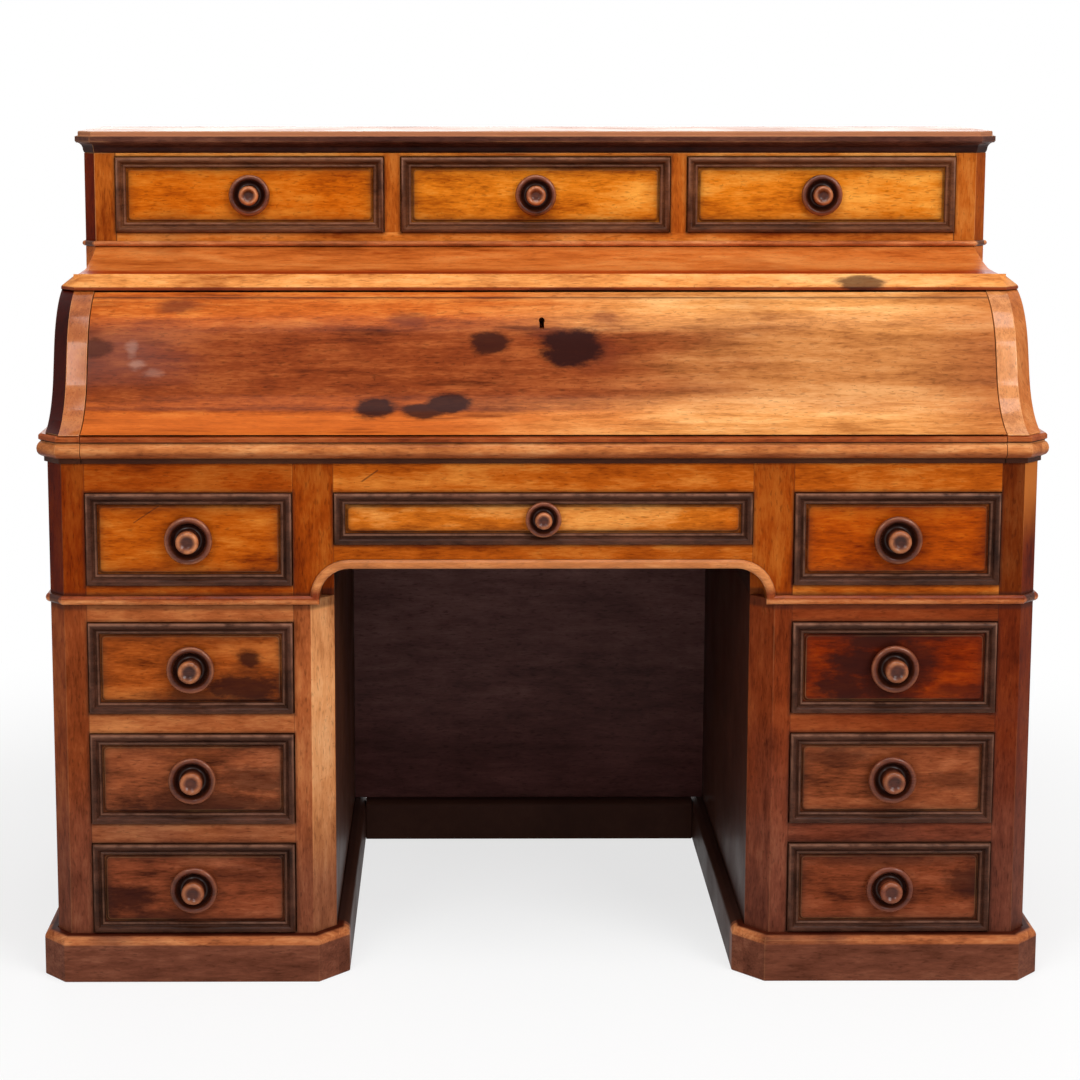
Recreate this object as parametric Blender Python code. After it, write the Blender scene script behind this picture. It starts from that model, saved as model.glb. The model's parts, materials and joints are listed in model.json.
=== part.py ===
"""Writing bureau: two drawer pedestals, a frieze, an ogee fall over a writing slide, and a gallery.

Metres, +Z up. The front faces -Y and the origin is on the floor, under the middle of the bureau.
Depths are measured back from the face of the frieze and pedestals, which is depth 0.
"""

import math

import bmesh
import bpy
from mathutils import Vector

# Clearances
SEAT_GAP = 0.0003
DRAWER_GAP = 0.0012
SLIDE_GAP = 0.0010
FALL_END_GAP = 0.0015
FALL_LIP_GAP = 0.0028
TOE_GAP = 0.0020
DRAWER_BACK_CLEAR = 0.0435
GALLERY_BACK_CLEAR = 0.0135
SLIDE_BACK_CLEAR = 0.025

# Overall case
CASE_HALF_WIDTH = 0.717
CASE_DEPTH = 0.660
BOARD = 0.018
FACE_FRAME = 0.024
DUST_BOARD = 0.010
GUIDE_HEIGHT = 0.030
BACK_BOARD = 0.014
CANT = 0.023

# Plinths
PLINTH_HEIGHT = 0.069
PLINTH_BEVEL = 0.011
PLINTH_OUT = 0.0195
PLINTH_LIP = 0.002
PLINTH_STEPS = 4
PLINTH_WALL = 0.0315
PLINTH_LEDGE_DROP = 0.019

# Pedestals and kneehole
KNEEHOLE_HALF_WIDTH = 0.304
KNEEHOLE_BACK_INSET = 0.026
INNER_CANT = 0.032
OUTER_STILE = 0.057
INNER_STILE = 0.059
FOOT_RAIL = 0.001
DRAWER_HEIGHT = 0.1347
DRAWER_RAIL = 0.0315
TOP_RAIL = 0.034

# Frieze, its arch and the string bead below it
FRIEZE_FOOT_RAIL = 0.022
FRIEZE_DRAWER_HEIGHT = 0.135
FRIEZE_TOP_RAIL = 0.044
CENTRE_DRAWER_HEIGHT = 0.075
CENTRE_DRAWER_INSET = 0.0022
ARCH_STEP = 0.0195
ARCH_RISE = 0.046
ARCH_RADIUS = 0.043
TUNNEL_RADIUS = 0.012
STRING_WIDTH = 0.014
STRING_OUT = 0.0065
ARCH_STEPS = 8

# Desk edge moulding: an undercut, a torus, a quirk and a fillet
EDGE_UNDERCUT = 0.0066
EDGE_UNDERCUT_OUT = 0.0044
EDGE_TORUS_MIDDLE = 0.0189
EDGE_TORUS_HALF = 0.0107
EDGE_TORUS_ROOT = 0.0065
EDGE_TORUS_OUT = 0.0145
EDGE_TORUS_TURN = math.radians(75)
EDGE_TORUS_STEPS = 6
EDGE_QUIRK = 0.0102
EDGE_QUIRK_OUT = 0.0084
EDGE_FILLET = 0.0082
EDGE_FILLET_OUT = 0.0116
EDGE_SOFT = 0.0025

# Desk bed and writing slide
BED_HEIGHT = 0.041
END_THICK = 0.0525
SLOT_DEPTH = 0.480
SLIDE_RAIL = 0.050
SLIDE_BOARD = 0.018
SLIDE_RUNNER = 0.040
LEATHER_MARGIN = 0.0645
LEATHER_FRONT = 0.035
LEATHER_LENGTH = 0.330
LEATHER_THICK = 0.0012

# Ogee of the fall and of its two ends
TOE_DEPTH = -0.012
TOE_ANGLE = math.radians(15)
LEAN_ANGLE = math.radians(72)
TOP_ANGLE = math.radians(20)
LOWER_RADIUS = 0.110
UPPER_RADIUS = 0.120
LEAN_LENGTH = 0.043
OGEE_STEPS = 9
FALL_THICK = 0.020
PIVOT_SETBACK = 0.0175
PIVOT_RISE = 0.029
ARM_THICK = 0.012
ARM_BOSS = 0.014
ARM_FOOT = 0.055
ARM_HEAD = 0.135
PIN_RADIUS = 0.006
PIN_REACH = 0.012
PIN_SIDES = 12
KEYHOLE_DROP = 0.037
KEYHOLE_RADIUS = 0.0045
KEYHOLE_SKIRT = 0.0115
KEYHOLE_FLARE = 0.0036
LOCK_HALF_WIDTH = 0.032
LOCK_HEIGHT = 0.040
LOCK_THICK = 0.011

# Shelf and gallery
NOSE_THICK = 0.0225
NOSE_RUN = 0.022
NOSE_EDGE = 0.0035
NOSE_SOFT = 0.002
SHELF_RISE = 0.0459
SHELF_DEPTH = 0.2445
SCOOP_DIP = 0.0075
SCOOP_RUN = 0.0645
SCOOP_STEPS = 9
GALLERY_CANT = 0.019
GALLERY_FOOT_RAIL = 0.0225
GALLERY_DRAWER_HEIGHT = 0.119
GALLERY_TOP_RAIL = 0.007
GALLERY_CENTRE_HALF = 0.213
GALLERY_POST = 0.028
GALLERY_STILE = 0.052
GALLERY_BEAD_WIDTH = 0.009
GALLERY_BEAD_OUT = 0.005

# Cornice: a foot, a hollow, a square band and a thin fillet
CORNICE_HEIGHT = 0.034
CORNICE_FOOT = 0.0041
CORNICE_FOOT_OUT = 0.0016
CORNICE_HOLLOW = 0.0118
CORNICE_HOLLOW_OUT = 0.0100
CORNICE_BAND = 0.0074
CORNICE_OUT = 0.0135
CORNICE_STEP = 0.0014
CORNICE_FILLET = 0.0068
CORNICE_FILLET_OUT = 0.0089
CORNICE_SOFT = 0.0014

# Pigeonholes behind the fall
PIGEON_INSET = 0.010
PIGEON_CELLS = 6
PIGEON_BOARD = 0.008
PIGEON_CLEAR = 0.006

# Drawer fronts and boxes
FRONT_RECESS = 0.0025
FRONT_THICK = 0.020
DRAWER_SIDE = 0.010
DRAWER_FLOOR = 0.008
SIDE_DROP = 0.010
FIELD_GAP = 0.0015
FIELD_SOFT = 0.0025
FIELD_RISE = 0.003
FIELD_CORNER = 0.005
FIELD_CORNER_STEPS = 3

# The moulding frame of a drawer, from its outer edge inwards: a round back, a hollow and a small bead.
# Its shape is given as shares of the width and of the height.
FRAME_WIDTH = 0.016
FRAME_OUT = 0.0095
FRAME_SHAPE = (
    (0.00, 0.00),
    (0.00, 0.60),
    (0.14, 0.90),
    (0.36, 1.00),
    (0.56, 0.86),
    (0.68, 0.46),
    (0.84, 0.58),
    (1.00, 0.34),
    (1.00, 0.00),
)

# Turned knobs, as shares of the radius and of the length: a foot, a rim, a deep groove and a dimpled boss
KNOB_RADIUS = 0.035
GALLERY_KNOB_RADIUS = 0.0325
CENTRE_KNOB_RADIUS = 0.026
KNOB_LENGTH_RATIO = 0.83
KNOB_SIDES = 18
KNOB_SHAPE = (
    (0.72, 0.00),
    (0.76, 0.13),
    (0.97, 0.23),
    (1.00, 0.35),
    (0.95, 0.46),
    (0.83, 0.49),
    (0.73, 0.39),
    (0.62, 0.16),
    (0.47, 0.16),
    (0.42, 0.50),
    (0.49, 0.76),
    (0.45, 0.93),
    (0.30, 1.00),
    (0.12, 0.94),
)

# Heights of the pedestals, frieze and desk bed, stacked from the floor
DRAWER_PITCH = DRAWER_HEIGHT + DRAWER_RAIL
PLINTH_FACE = PLINTH_HEIGHT - PLINTH_BEVEL
PLINTH_LEDGE = PLINTH_HEIGHT - PLINTH_LEDGE_DROP
LOWER_FOOT = PLINTH_HEIGHT + FOOT_RAIL
LOWER_DRAWER = (LOWER_FOOT, LOWER_FOOT + DRAWER_HEIGHT)
MIDDLE_DRAWER = (LOWER_FOOT + DRAWER_PITCH, LOWER_FOOT + DRAWER_PITCH + DRAWER_HEIGHT)
UPPER_DRAWER = (LOWER_FOOT + 2 * DRAWER_PITCH, LOWER_FOOT + 2 * DRAWER_PITCH + DRAWER_HEIGHT)
PEDESTAL_TOP = UPPER_DRAWER[1] + TOP_RAIL
FRIEZE_FOOT = PEDESTAL_TOP + FRIEZE_FOOT_RAIL
FRIEZE_DRAWER = (FRIEZE_FOOT, FRIEZE_FOOT + FRIEZE_DRAWER_HEIGHT)
CENTRE_DRAWER = (FRIEZE_DRAWER[1] - CENTRE_DRAWER_HEIGHT, FRIEZE_DRAWER[1])
FRIEZE_TOP = FRIEZE_DRAWER[1] + FRIEZE_TOP_RAIL
BED_TOP = FRIEZE_TOP + BED_HEIGHT
ARCH_SOFFIT = PEDESTAL_TOP + ARCH_RISE
TOE_HEIGHT = BED_TOP + TOE_GAP
PIVOT_HEIGHT = BED_TOP + PIVOT_RISE

# Widths that follow from the case and the kneehole
COLUMN_OUTER = CASE_HALF_WIDTH - OUTER_STILE
COLUMN_INNER = KNEEHOLE_HALF_WIDTH + INNER_STILE
CENTRE_HALF_WIDTH = KNEEHOLE_HALF_WIDTH - CENTRE_DRAWER_INSET
ARCH_HALF_WIDTH = KNEEHOLE_HALF_WIDTH + ARCH_STEP
SLOT_HALF_WIDTH = CASE_HALF_WIDTH - END_THICK
LEATHER_HALF_WIDTH = SLOT_HALF_WIDTH - LEATHER_MARGIN
GALLERY_SIDE = (GALLERY_CENTRE_HALF + GALLERY_POST, CASE_HALF_WIDTH - GALLERY_STILE)


def ogee(shift=0.0):
    """The ogee's outer line from toe to top as (depth, height), moved inwards by shift.

    A hollow arc leaves the toe, a straight lean follows it, and a round arc turns back under the shelf.
    """
    line = []
    depth, height = TOE_DEPTH, TOE_HEIGHT
    for start, end, radius in (
        (TOE_ANGLE, LEAN_ANGLE, LOWER_RADIUS),
        (LEAN_ANGLE, TOP_ANGLE, -UPPER_RADIUS),
    ):
        for i in range(OGEE_STEPS + 1):
            angle = start + (end - start) * i / OGEE_STEPS
            d = depth + radius * (math.sin(angle) - math.sin(start))
            z = height + radius * (math.cos(start) - math.cos(angle))
            line.append((d + shift * math.sin(angle), z - shift * math.cos(angle)))
        depth += radius * (math.sin(end) - math.sin(start)) + LEAN_LENGTH * math.cos(LEAN_ANGLE)
        height += radius * (math.cos(start) - math.cos(end)) + LEAN_LENGTH * math.sin(LEAN_ANGLE)
    return line


# Depths, and the heights above the fall
OGEE_TOP = ogee()[-1]
NOSE_FRONT = OGEE_TOP[0]
SHELF_UNDER = OGEE_TOP[1] + FALL_LIP_GAP
PIVOT_DEPTH = NOSE_FRONT + PIVOT_SETBACK
GALLERY_FACE = NOSE_FRONT + SHELF_DEPTH
GALLERY_BASE = SHELF_UNDER + SHELF_RISE
GALLERY_FOOT = GALLERY_BASE + GALLERY_FOOT_RAIL
GALLERY_DRAWER = (GALLERY_FOOT, GALLERY_FOOT + GALLERY_DRAWER_HEIGHT)
GALLERY_TOP = GALLERY_DRAWER[1] + GALLERY_TOP_RAIL
PIGEON_FRONT = GALLERY_FACE - PIGEON_INSET
INNER_BACK = CASE_DEPTH - BACK_BOARD
KNEEHOLE_BACK_DEPTH = CASE_DEPTH - KNEEHOLE_BACK_INSET
SLIDE_LENGTH = SLOT_DEPTH - SLIDE_BACK_CLEAR
DEEP_DRAWER_LENGTH = INNER_BACK - DRAWER_BACK_CLEAR - FRONT_RECESS
GALLERY_DRAWER_LENGTH = INNER_BACK - GALLERY_BACK_CLEAR - GALLERY_FACE - FRONT_RECESS
KNOB_TIP = -(FIELD_RISE - FRONT_RECESS + SEAT_GAP + KNOB_RADIUS * KNOB_LENGTH_RATIO)
MIDDLE_DEPTH = (KNOB_TIP + CASE_DEPTH) / 2

# Finishes: colour, roughness, metallic
FINISHES = {
    "gallery_wood": ((0.56, 0.20, 0.035), 0.35, 0.0),
    "fall_wood": ((0.48, 0.16, 0.035), 0.30, 0.0),
    "case_wood": ((0.40, 0.12, 0.025), 0.38, 0.0),
    "pedestal_wood": ((0.24, 0.06, 0.02), 0.40, 0.0),
    "plinth_wood": ((0.14, 0.05, 0.03), 0.45, 0.0),
    "moulding_wood": ((0.06, 0.03, 0.025), 0.40, 0.0),
    "knob_wood": ((0.13, 0.045, 0.03), 0.30, 0.0),
    "dark_wood": ((0.03, 0.018, 0.018), 0.55, 0.0),
    "inner_wood": ((0.42, 0.22, 0.09), 0.60, 0.0),
    "leather": ((0.05, 0.10, 0.06), 0.55, 0.0),
    "brass": ((0.55, 0.38, 0.14), 0.35, 1.0),
}


def clear_scene():
    for obj in list(bpy.data.objects):
        bpy.data.objects.remove(obj, do_unlink=True)


def finish(slot):
    """The material of that name, made on first use."""
    if slot in bpy.data.materials:
        return bpy.data.materials[slot]
    colour, roughness, metallic = FINISHES[slot]
    material = bpy.data.materials.new(slot)
    material.use_nodes = True
    shader = material.node_tree.nodes["Principled BSDF"]
    shader.inputs["Base Color"].default_value = (*colour, 1.0)
    shader.inputs["Roughness"].default_value = roughness
    shader.inputs["Metallic"].default_value = metallic
    return material


def at(x, depth, z):
    """A point given by its depth behind the frieze face."""
    return Vector((x, depth - MIDDLE_DEPTH, z))


def add(name, bm, slot, origin=(0, 0, 0), smooth=None):
    """A named object from a bmesh in world space, with its own origin and material."""
    origin = Vector(origin)
    bmesh.ops.recalc_face_normals(bm, faces=bm.faces)
    bmesh.ops.translate(bm, vec=-origin, verts=bm.verts)
    mesh = bpy.data.meshes.new(name)
    bm.to_mesh(mesh)
    bm.free()
    if smooth:
        mesh.shade_smooth()
        mesh.set_sharp_from_angle(angle=math.radians(smooth))
    obj = bpy.data.objects.new(name, mesh)
    obj.location = origin
    obj.data.materials.append(finish(slot))
    bpy.context.scene.collection.objects.link(obj)
    return obj


def boolean(target, tools, operation):
    """Joins or cuts each bmesh in tools, kept as a hidden wire object, with an exact Boolean."""
    for tool in tools:
        helper = add(f"{target.name}_{operation.lower()}", tool, "dark_wood")
        helper.hide_render = True
        helper.display_type = "WIRE"
        modifier = target.modifiers.new(helper.name, "BOOLEAN")
        modifier.operation = operation
        modifier.object = helper
        modifier.solver = "EXACT"


def loft(rings):
    """A closed skin over rings of equal length, with a cap on the first and the last."""
    bm = bmesh.new()
    loops = [[bm.verts.new(point) for point in ring] for ring in rings]
    for lower, upper in zip(loops, loops[1:]):
        for i in range(len(lower)):
            j = (i + 1) % len(lower)
            bm.faces.new((lower[i], lower[j], upper[j], upper[i]))
    bm.faces.new(reversed(loops[0]))
    bm.faces.new(loops[-1])
    return bm


def box(x, depth, z):
    """A block between pairs of x, depth and height."""
    ring = [(x[0], depth[0]), (x[1], depth[0]), (x[1], depth[1]), (x[0], depth[1])]
    return loft([[at(a, d, height) for a, d in ring] for height in z])


def side_prism(outline, x0, x1):
    """An outline of (depth, height) carried along X."""
    return loft([[at(x, d, z) for d, z in outline] for x in (x0, x1)])


def front_prism(outline, depth0, depth1):
    """An outline of (x, height) carried along the depth."""
    return loft([[at(x, d, z) for x, z in outline] for d in (depth0, depth1)])


def canted_plan(x0, x1, front, back, cants, out=0.0, back_out=0.0):
    """A plan with its two front corners cut at 45 degrees, moved out by a moulding's projection."""
    slope = out * math.tan(math.pi / 8)
    left, right = cants
    return [
        (x0 - out, front + left - slope),
        (x0 + left - slope, front - out),
        (x1 - right + slope, front - out),
        (x1 + out, front + right - slope),
        (x1 + out, back + back_out),
        (x0 - out, back + back_out),
    ]


def plan_loft(levels, plan):
    """A solid whose plan at each (height, projection) level is plan(projection)."""
    return loft([[at(x, d, z) for x, d in plan(out)] for z, out in levels])


def arc(centre, radius, start, end, steps):
    """Points along an arc in a plane, its angles in radians."""
    turn = (end - start) / steps
    return [
        (
            centre[0] + radius * math.cos(start + i * turn),
            centre[1] + radius * math.sin(start + i * turn),
        )
        for i in range(steps + 1)
    ]


def disc(centre, radius, sides):
    """The corners of a round outline."""
    step = math.tau / sides
    return arc(centre, radius, 0, math.tau - step, sides - 1)


def sweep(points, normals, profile, closed):
    """A moulding along points, with mitred corners.

    Each stretch has the normal of the face that it lies on. The profile's pairs are the distance across
    the face and the height above it.
    """
    count = len(points)
    spans = count if closed else count - 1
    across = []
    for i in range(spans):
        along = (points[(i + 1) % count] - points[i]).normalized()
        across.append(along.cross(normals[i]).normalized())

    def mitre(vectors, i):
        before = vectors[(i - 1) % spans] if closed or i > 0 else vectors[0]
        after = vectors[i % spans] if closed or i < spans else vectors[-1]
        return (before + after) / (1 + before.dot(after))

    rings = []
    for i in range(count):
        u, v = mitre(across, i), mitre(normals, i)
        rings.append([points[i] + u * a + v * b for a, b in profile])
    if not closed:
        return loft(rings)
    bm = bmesh.new()
    loops = [[bm.verts.new(point) for point in ring] for ring in rings]
    for k in range(count):
        first, second = loops[k], loops[(k + 1) % count]
        for i in range(len(profile)):
            j = (i + 1) % len(profile)
            bm.faces.new((first[i], first[j], second[j], second[i]))
    return bm


def half_round(width, height):
    """A bead's profile: a flat back and a rounded face."""
    steps = 6
    return [
        (width / 2 * math.cos(math.pi * i / steps), height * math.sin(math.pi * i / steps))
        for i in range(steps + 1)
    ]


def above(line, height):
    """The stretch of a rising line above a height, cut there."""
    kept = []
    for first, second in zip(line, line[1:]):
        if first[1] < height <= second[1]:
            share = (height - first[1]) / (second[1] - first[1])
            kept.append((first[0] + share * (second[0] - first[0]), height))
        if second[1] > height:
            kept.append(second)
    return kept


def plinth_round():
    """The rounded top edge of a plinth, as (height, projection) levels."""
    turns = [math.pi / 2 * i / PLINTH_STEPS for i in range(PLINTH_STEPS + 1)]
    reach = PLINTH_OUT - PLINTH_LIP
    return [
        (PLINTH_FACE + PLINTH_BEVEL * math.sin(turn), PLINTH_LIP + reach * math.cos(turn))
        for turn in turns
    ]


def make_plinths():
    for side, name in ((-1, "left_plinth"), (1, "right_plinth")):
        x = sorted((side * KNEEHOLE_HALF_WIDTH, side * CASE_HALF_WIDTH))
        cants = (CANT, INNER_CANT) if side < 0 else (INNER_CANT, CANT)

        def plan(out):
            return canted_plan(x[0], x[1], 0.0, CASE_DEPTH, cants, out)

        levels = [(0.0, PLINTH_OUT), *plinth_round()]
        ring = add(name, plan_loft(levels, plan), "plinth_wood", smooth=30)

        def hollow(low, out, back_out):
            levels = ((low, out), (2 * PLINTH_HEIGHT, out))
            return plan_loft(
                levels, lambda o: canted_plan(x[0], x[1], 0.0, CASE_DEPTH, cants, o, back_out)
            )

        ledge = hollow(PLINTH_LEDGE, SEAT_GAP, PLINTH_OUT)
        well = hollow(-PLINTH_HEIGHT, PLINTH_OUT - PLINTH_WALL, PLINTH_OUT - PLINTH_WALL)
        boolean(ring, (ledge, well), "DIFFERENCE")
    half = KNEEHOLE_HALF_WIDTH - PLINTH_OUT - SEAT_GAP
    front = KNEEHOLE_BACK_DEPTH - PLINTH_OUT
    back = KNEEHOLE_BACK_DEPTH + BACK_BOARD
    outline = [(front, 0.0)]
    outline += [(KNEEHOLE_BACK_DEPTH - out, z) for z, out in plinth_round()]
    outline += [(back, PLINTH_HEIGHT), (back, 0.0)]
    add("kneehole_plinth", side_prism(outline, -half, half), "plinth_wood", smooth=30)
    panel = KNEEHOLE_HALF_WIDTH - SEAT_GAP
    heights = (PLINTH_HEIGHT + SEAT_GAP, PEDESTAL_TOP)
    back_panel = box((-panel, panel), (KNEEHOLE_BACK_DEPTH, back), heights)
    add("kneehole_back", back_panel, "dark_wood")


def drawer_bay(x, z, front, back, ceiling, walls):
    """Cutters for one drawer: its opening, and the wider space behind the face frame above the guides."""
    gap = DRAWER_GAP
    mouth = box(
        (x[0] - gap, x[1] + gap), (front - FACE_FRAME, back), (z[0] - SEAT_GAP, z[1] + gap)
    )
    bay = box(walls, (front + FACE_FRAME, back), (z[0] + GUIDE_HEIGHT, ceiling))
    return [mouth, bay]


def make_pedestals():
    for side, name in ((-1, "left_pedestal"), (1, "right_pedestal")):
        x = sorted((side * KNEEHOLE_HALF_WIDTH, side * CASE_HALF_WIDTH))
        cants = (CANT, INNER_CANT) if side < 0 else (INNER_CANT, CANT)
        levels = ((PLINTH_LEDGE + SEAT_GAP, 0.0), (PEDESTAL_TOP, 0.0))
        plan = canted_plan(x[0], x[1], 0.0, CASE_DEPTH, cants)
        case = add(name, plan_loft(levels, lambda out: plan), "pedestal_wood")
        column = sorted((side * COLUMN_INNER, side * COLUMN_OUTER))
        walls = (x[0] + BOARD, x[1] - BOARD)
        rows = (LOWER_DRAWER, MIDDLE_DRAWER, UPPER_DRAWER)
        ceilings = [row[0] - SEAT_GAP - DUST_BOARD for row in rows[1:]] + [PEDESTAL_TOP - BOARD]
        cutters = []
        for row, ceiling in zip(rows, ceilings):
            cutters += drawer_bay(column, row, 0.0, INNER_BACK, ceiling, walls)
        boolean(case, cutters, "DIFFERENCE")


def arch_outline(half, soffit, radius, foot):
    right = arc((half - radius, soffit - radius), radius, 0, math.pi / 2, ARCH_STEPS)
    left = [(-x, z) for x, z in reversed(right)]
    return [(half, foot), *right, *left, (-half, foot)]


def make_frieze():
    plan = canted_plan(-CASE_HALF_WIDTH, CASE_HALF_WIDTH, 0.0, CASE_DEPTH, (CANT, CANT))
    levels = ((PEDESTAL_TOP + SEAT_GAP, 0.0), (FRIEZE_TOP - SEAT_GAP, 0.0))
    case = add("frieze_case", plan_loft(levels, lambda out: plan), "case_wood")
    ceiling = FRIEZE_TOP - BOARD
    column = (COLUMN_INNER, COLUMN_OUTER)
    walls = (KNEEHOLE_HALF_WIDTH + BOARD, CASE_HALF_WIDTH - BOARD)
    cutters = drawer_bay(column, FRIEZE_DRAWER, 0.0, INNER_BACK, ceiling, walls)
    mirrored = [tuple(-x for x in reversed(pair)) for pair in (column, walls)]
    cutters += drawer_bay(mirrored[0], FRIEZE_DRAWER, 0.0, INNER_BACK, ceiling, mirrored[1])
    centre = (-CENTRE_HALF_WIDTH, CENTRE_HALF_WIDTH)
    cutters += drawer_bay(centre, CENTRE_DRAWER, 0.0, INNER_BACK, ceiling, centre)
    foot = PEDESTAL_TOP - BOARD
    arch = arch_outline(ARCH_HALF_WIDTH, ARCH_SOFFIT, ARCH_RADIUS, foot)
    cutters.append(front_prism(arch, -INNER_CANT, INNER_CANT))
    tunnel = arch_outline(KNEEHOLE_HALF_WIDTH, ARCH_SOFFIT, TUNNEL_RADIUS, foot)
    cutters.append(front_prism(tunnel, 0.0, KNEEHOLE_BACK_DEPTH))
    boolean(case, cutters, "DIFFERENCE")


def make_string_bead():
    """One bead along both sides and the front, rising round the kneehole arch."""
    plan = canted_plan(
        -CASE_HALF_WIDTH, CASE_HALF_WIDTH, 0.0, CASE_DEPTH, (CANT, CANT), SEAT_GAP
    )
    half = STRING_WIDTH / 2
    radius = ARCH_RADIUS + half
    spring = ARCH_SOFFIT - ARCH_RADIUS
    right_arch = arc((ARCH_HALF_WIDTH - ARCH_RADIUS, spring), radius, 0, math.pi / 2, ARCH_STEPS)
    arch = [(-x, z) for x, z in right_arch] + list(reversed(right_arch))
    face = -SEAT_GAP
    meet = ARCH_HALF_WIDTH + half
    left = [plan[5], plan[0], plan[1]]
    right = [plan[2], plan[3], plan[4]]
    points = [at(x, d, PEDESTAL_TOP) for x, d in left]
    points += [at(-meet, face, PEDESTAL_TOP)]
    points += [at(x, face, z) for x, z in arch]
    points += [at(meet, face, PEDESTAL_TOP)]
    points += [at(x, d, PEDESTAL_TOP) for x, d in right]
    side, cant, front = Vector((1, 0, 0)), Vector((1, -1, 0)).normalized(), Vector((0, -1, 0))
    facing = len(points) - 5
    normals = [-side, Vector((-cant.x, cant.y, 0))] + [front] * facing + [cant, side]
    profile = half_round(STRING_WIDTH, STRING_OUT)
    add("string_bead", sweep(points, normals, profile, False), "moulding_wood", smooth=50)


def desk_edge(bottom, top):
    """Levels of the desk's edge moulding as (height, projection), from its undercut up to its fillet."""
    middle = bottom + EDGE_TORUS_MIDDLE
    reach = EDGE_TORUS_OUT - EDGE_TORUS_ROOT
    levels = [(bottom, EDGE_UNDERCUT_OUT), (bottom + EDGE_UNDERCUT, EDGE_UNDERCUT_OUT)]
    for i in range(EDGE_TORUS_STEPS + 1):
        angle = EDGE_TORUS_TURN * (2 * i / EDGE_TORUS_STEPS - 1)
        height = middle + EDGE_TORUS_HALF * math.sin(angle)
        levels.append((height, EDGE_TORUS_ROOT + reach * math.cos(angle)))
    levels += [
        (top - EDGE_QUIRK, EDGE_QUIRK_OUT),
        (top - EDGE_FILLET, EDGE_FILLET_OUT),
        (top - EDGE_SOFT, EDGE_FILLET_OUT),
        (top, EDGE_FILLET_OUT - EDGE_SOFT),
    ]
    return levels


def make_bed():
    """The desk's moulded bed, open at the front for the writing slide."""

    def plan(out):
        outer = canted_plan(
            -CASE_HALF_WIDTH, CASE_HALF_WIDTH, 0.0, CASE_DEPTH, (CANT, CANT), out
        )
        slot = [
            (-SLOT_HALF_WIDTH, outer[1][1]),
            (-SLOT_HALF_WIDTH, SLOT_DEPTH),
            (SLOT_HALF_WIDTH, SLOT_DEPTH),
            (SLOT_HALF_WIDTH, outer[1][1]),
        ]
        return outer[:2] + slot + outer[2:]

    levels = desk_edge(FRIEZE_TOP, BED_TOP)
    add("desk_bed", plan_loft(levels, plan), "case_wood", smooth=35)


def make_slide():
    """The pull-out writing slide, whose front carries the desk's edge moulding."""
    bottom = FRIEZE_TOP
    top = BED_TOP - SLIDE_GAP
    edge = [(-out, z) for z, out in desk_edge(bottom, top)]
    half = SLOT_HALF_WIDTH - SLIDE_GAP
    outline = edge + [(SLIDE_LENGTH, top), (SLIDE_LENGTH, bottom)]
    origin = at(0, 0, top)
    slide = add("writing_slide", side_prism(outline, -half, half), "case_wood", origin, 35)
    inner = half - SLIDE_RUNNER
    under = box(
        (-inner, inner), (SLIDE_RAIL, SLIDE_LENGTH - SLIDE_RAIL), (bottom - BOARD, top - SLIDE_BOARD)
    )
    reach = LEATHER_FRONT + LEATHER_LENGTH
    recess = box(
        (-LEATHER_HALF_WIDTH, LEATHER_HALF_WIDTH),
        (LEATHER_FRONT, reach),
        (top - LEATHER_THICK - SEAT_GAP, top + BOARD),
    )
    boolean(slide, (under, recess), "DIFFERENCE")
    skin = LEATHER_HALF_WIDTH - SEAT_GAP
    leather = box(
        (-skin, skin), (LEATHER_FRONT + SEAT_GAP, reach - SEAT_GAP), (top - LEATHER_THICK, top)
    )
    add("slide_leather", leather, "leather", origin)


def make_ogee_ends():
    """The two fixed ends that the fall closes between, with the ogee on their front edges."""
    top = SHELF_UNDER - SEAT_GAP
    foot = BED_TOP + SEAT_GAP
    run = (top - OGEE_TOP[1]) / math.tan(TOP_ANGLE)
    front = ogee() + [(OGEE_TOP[0] + run, top)]
    for side, name in ((-1, "left_ogee_end"), (1, "right_ogee_end")):
        stations = (
            (SLOT_HALF_WIDTH, 0.0),
            (CASE_HALF_WIDTH - CANT, 0.0),
            (CASE_HALF_WIDTH, CANT),
        )
        rings = []
        for x, back_step in stations:
            line = [(TOE_DEPTH + back_step, foot)] + [(d + back_step, z) for d, z in front]
            line += [(CASE_DEPTH, top), (CASE_DEPTH, foot)]
            rings.append([at(side * x, d, z) for d, z in line])
        end = add(name, loft(rings), "fall_wood", smooth=30)
        mouth = SLOT_HALF_WIDTH - BOARD
        floor = SLOT_HALF_WIDTH + PIN_REACH + SEAT_GAP
        bore = disc((PIVOT_DEPTH, PIVOT_HEIGHT), PIN_RADIUS + SEAT_GAP, PIN_SIDES)
        boolean(end, [side_prism(bore, side * mouth, side * floor)], "DIFFERENCE")


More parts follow.
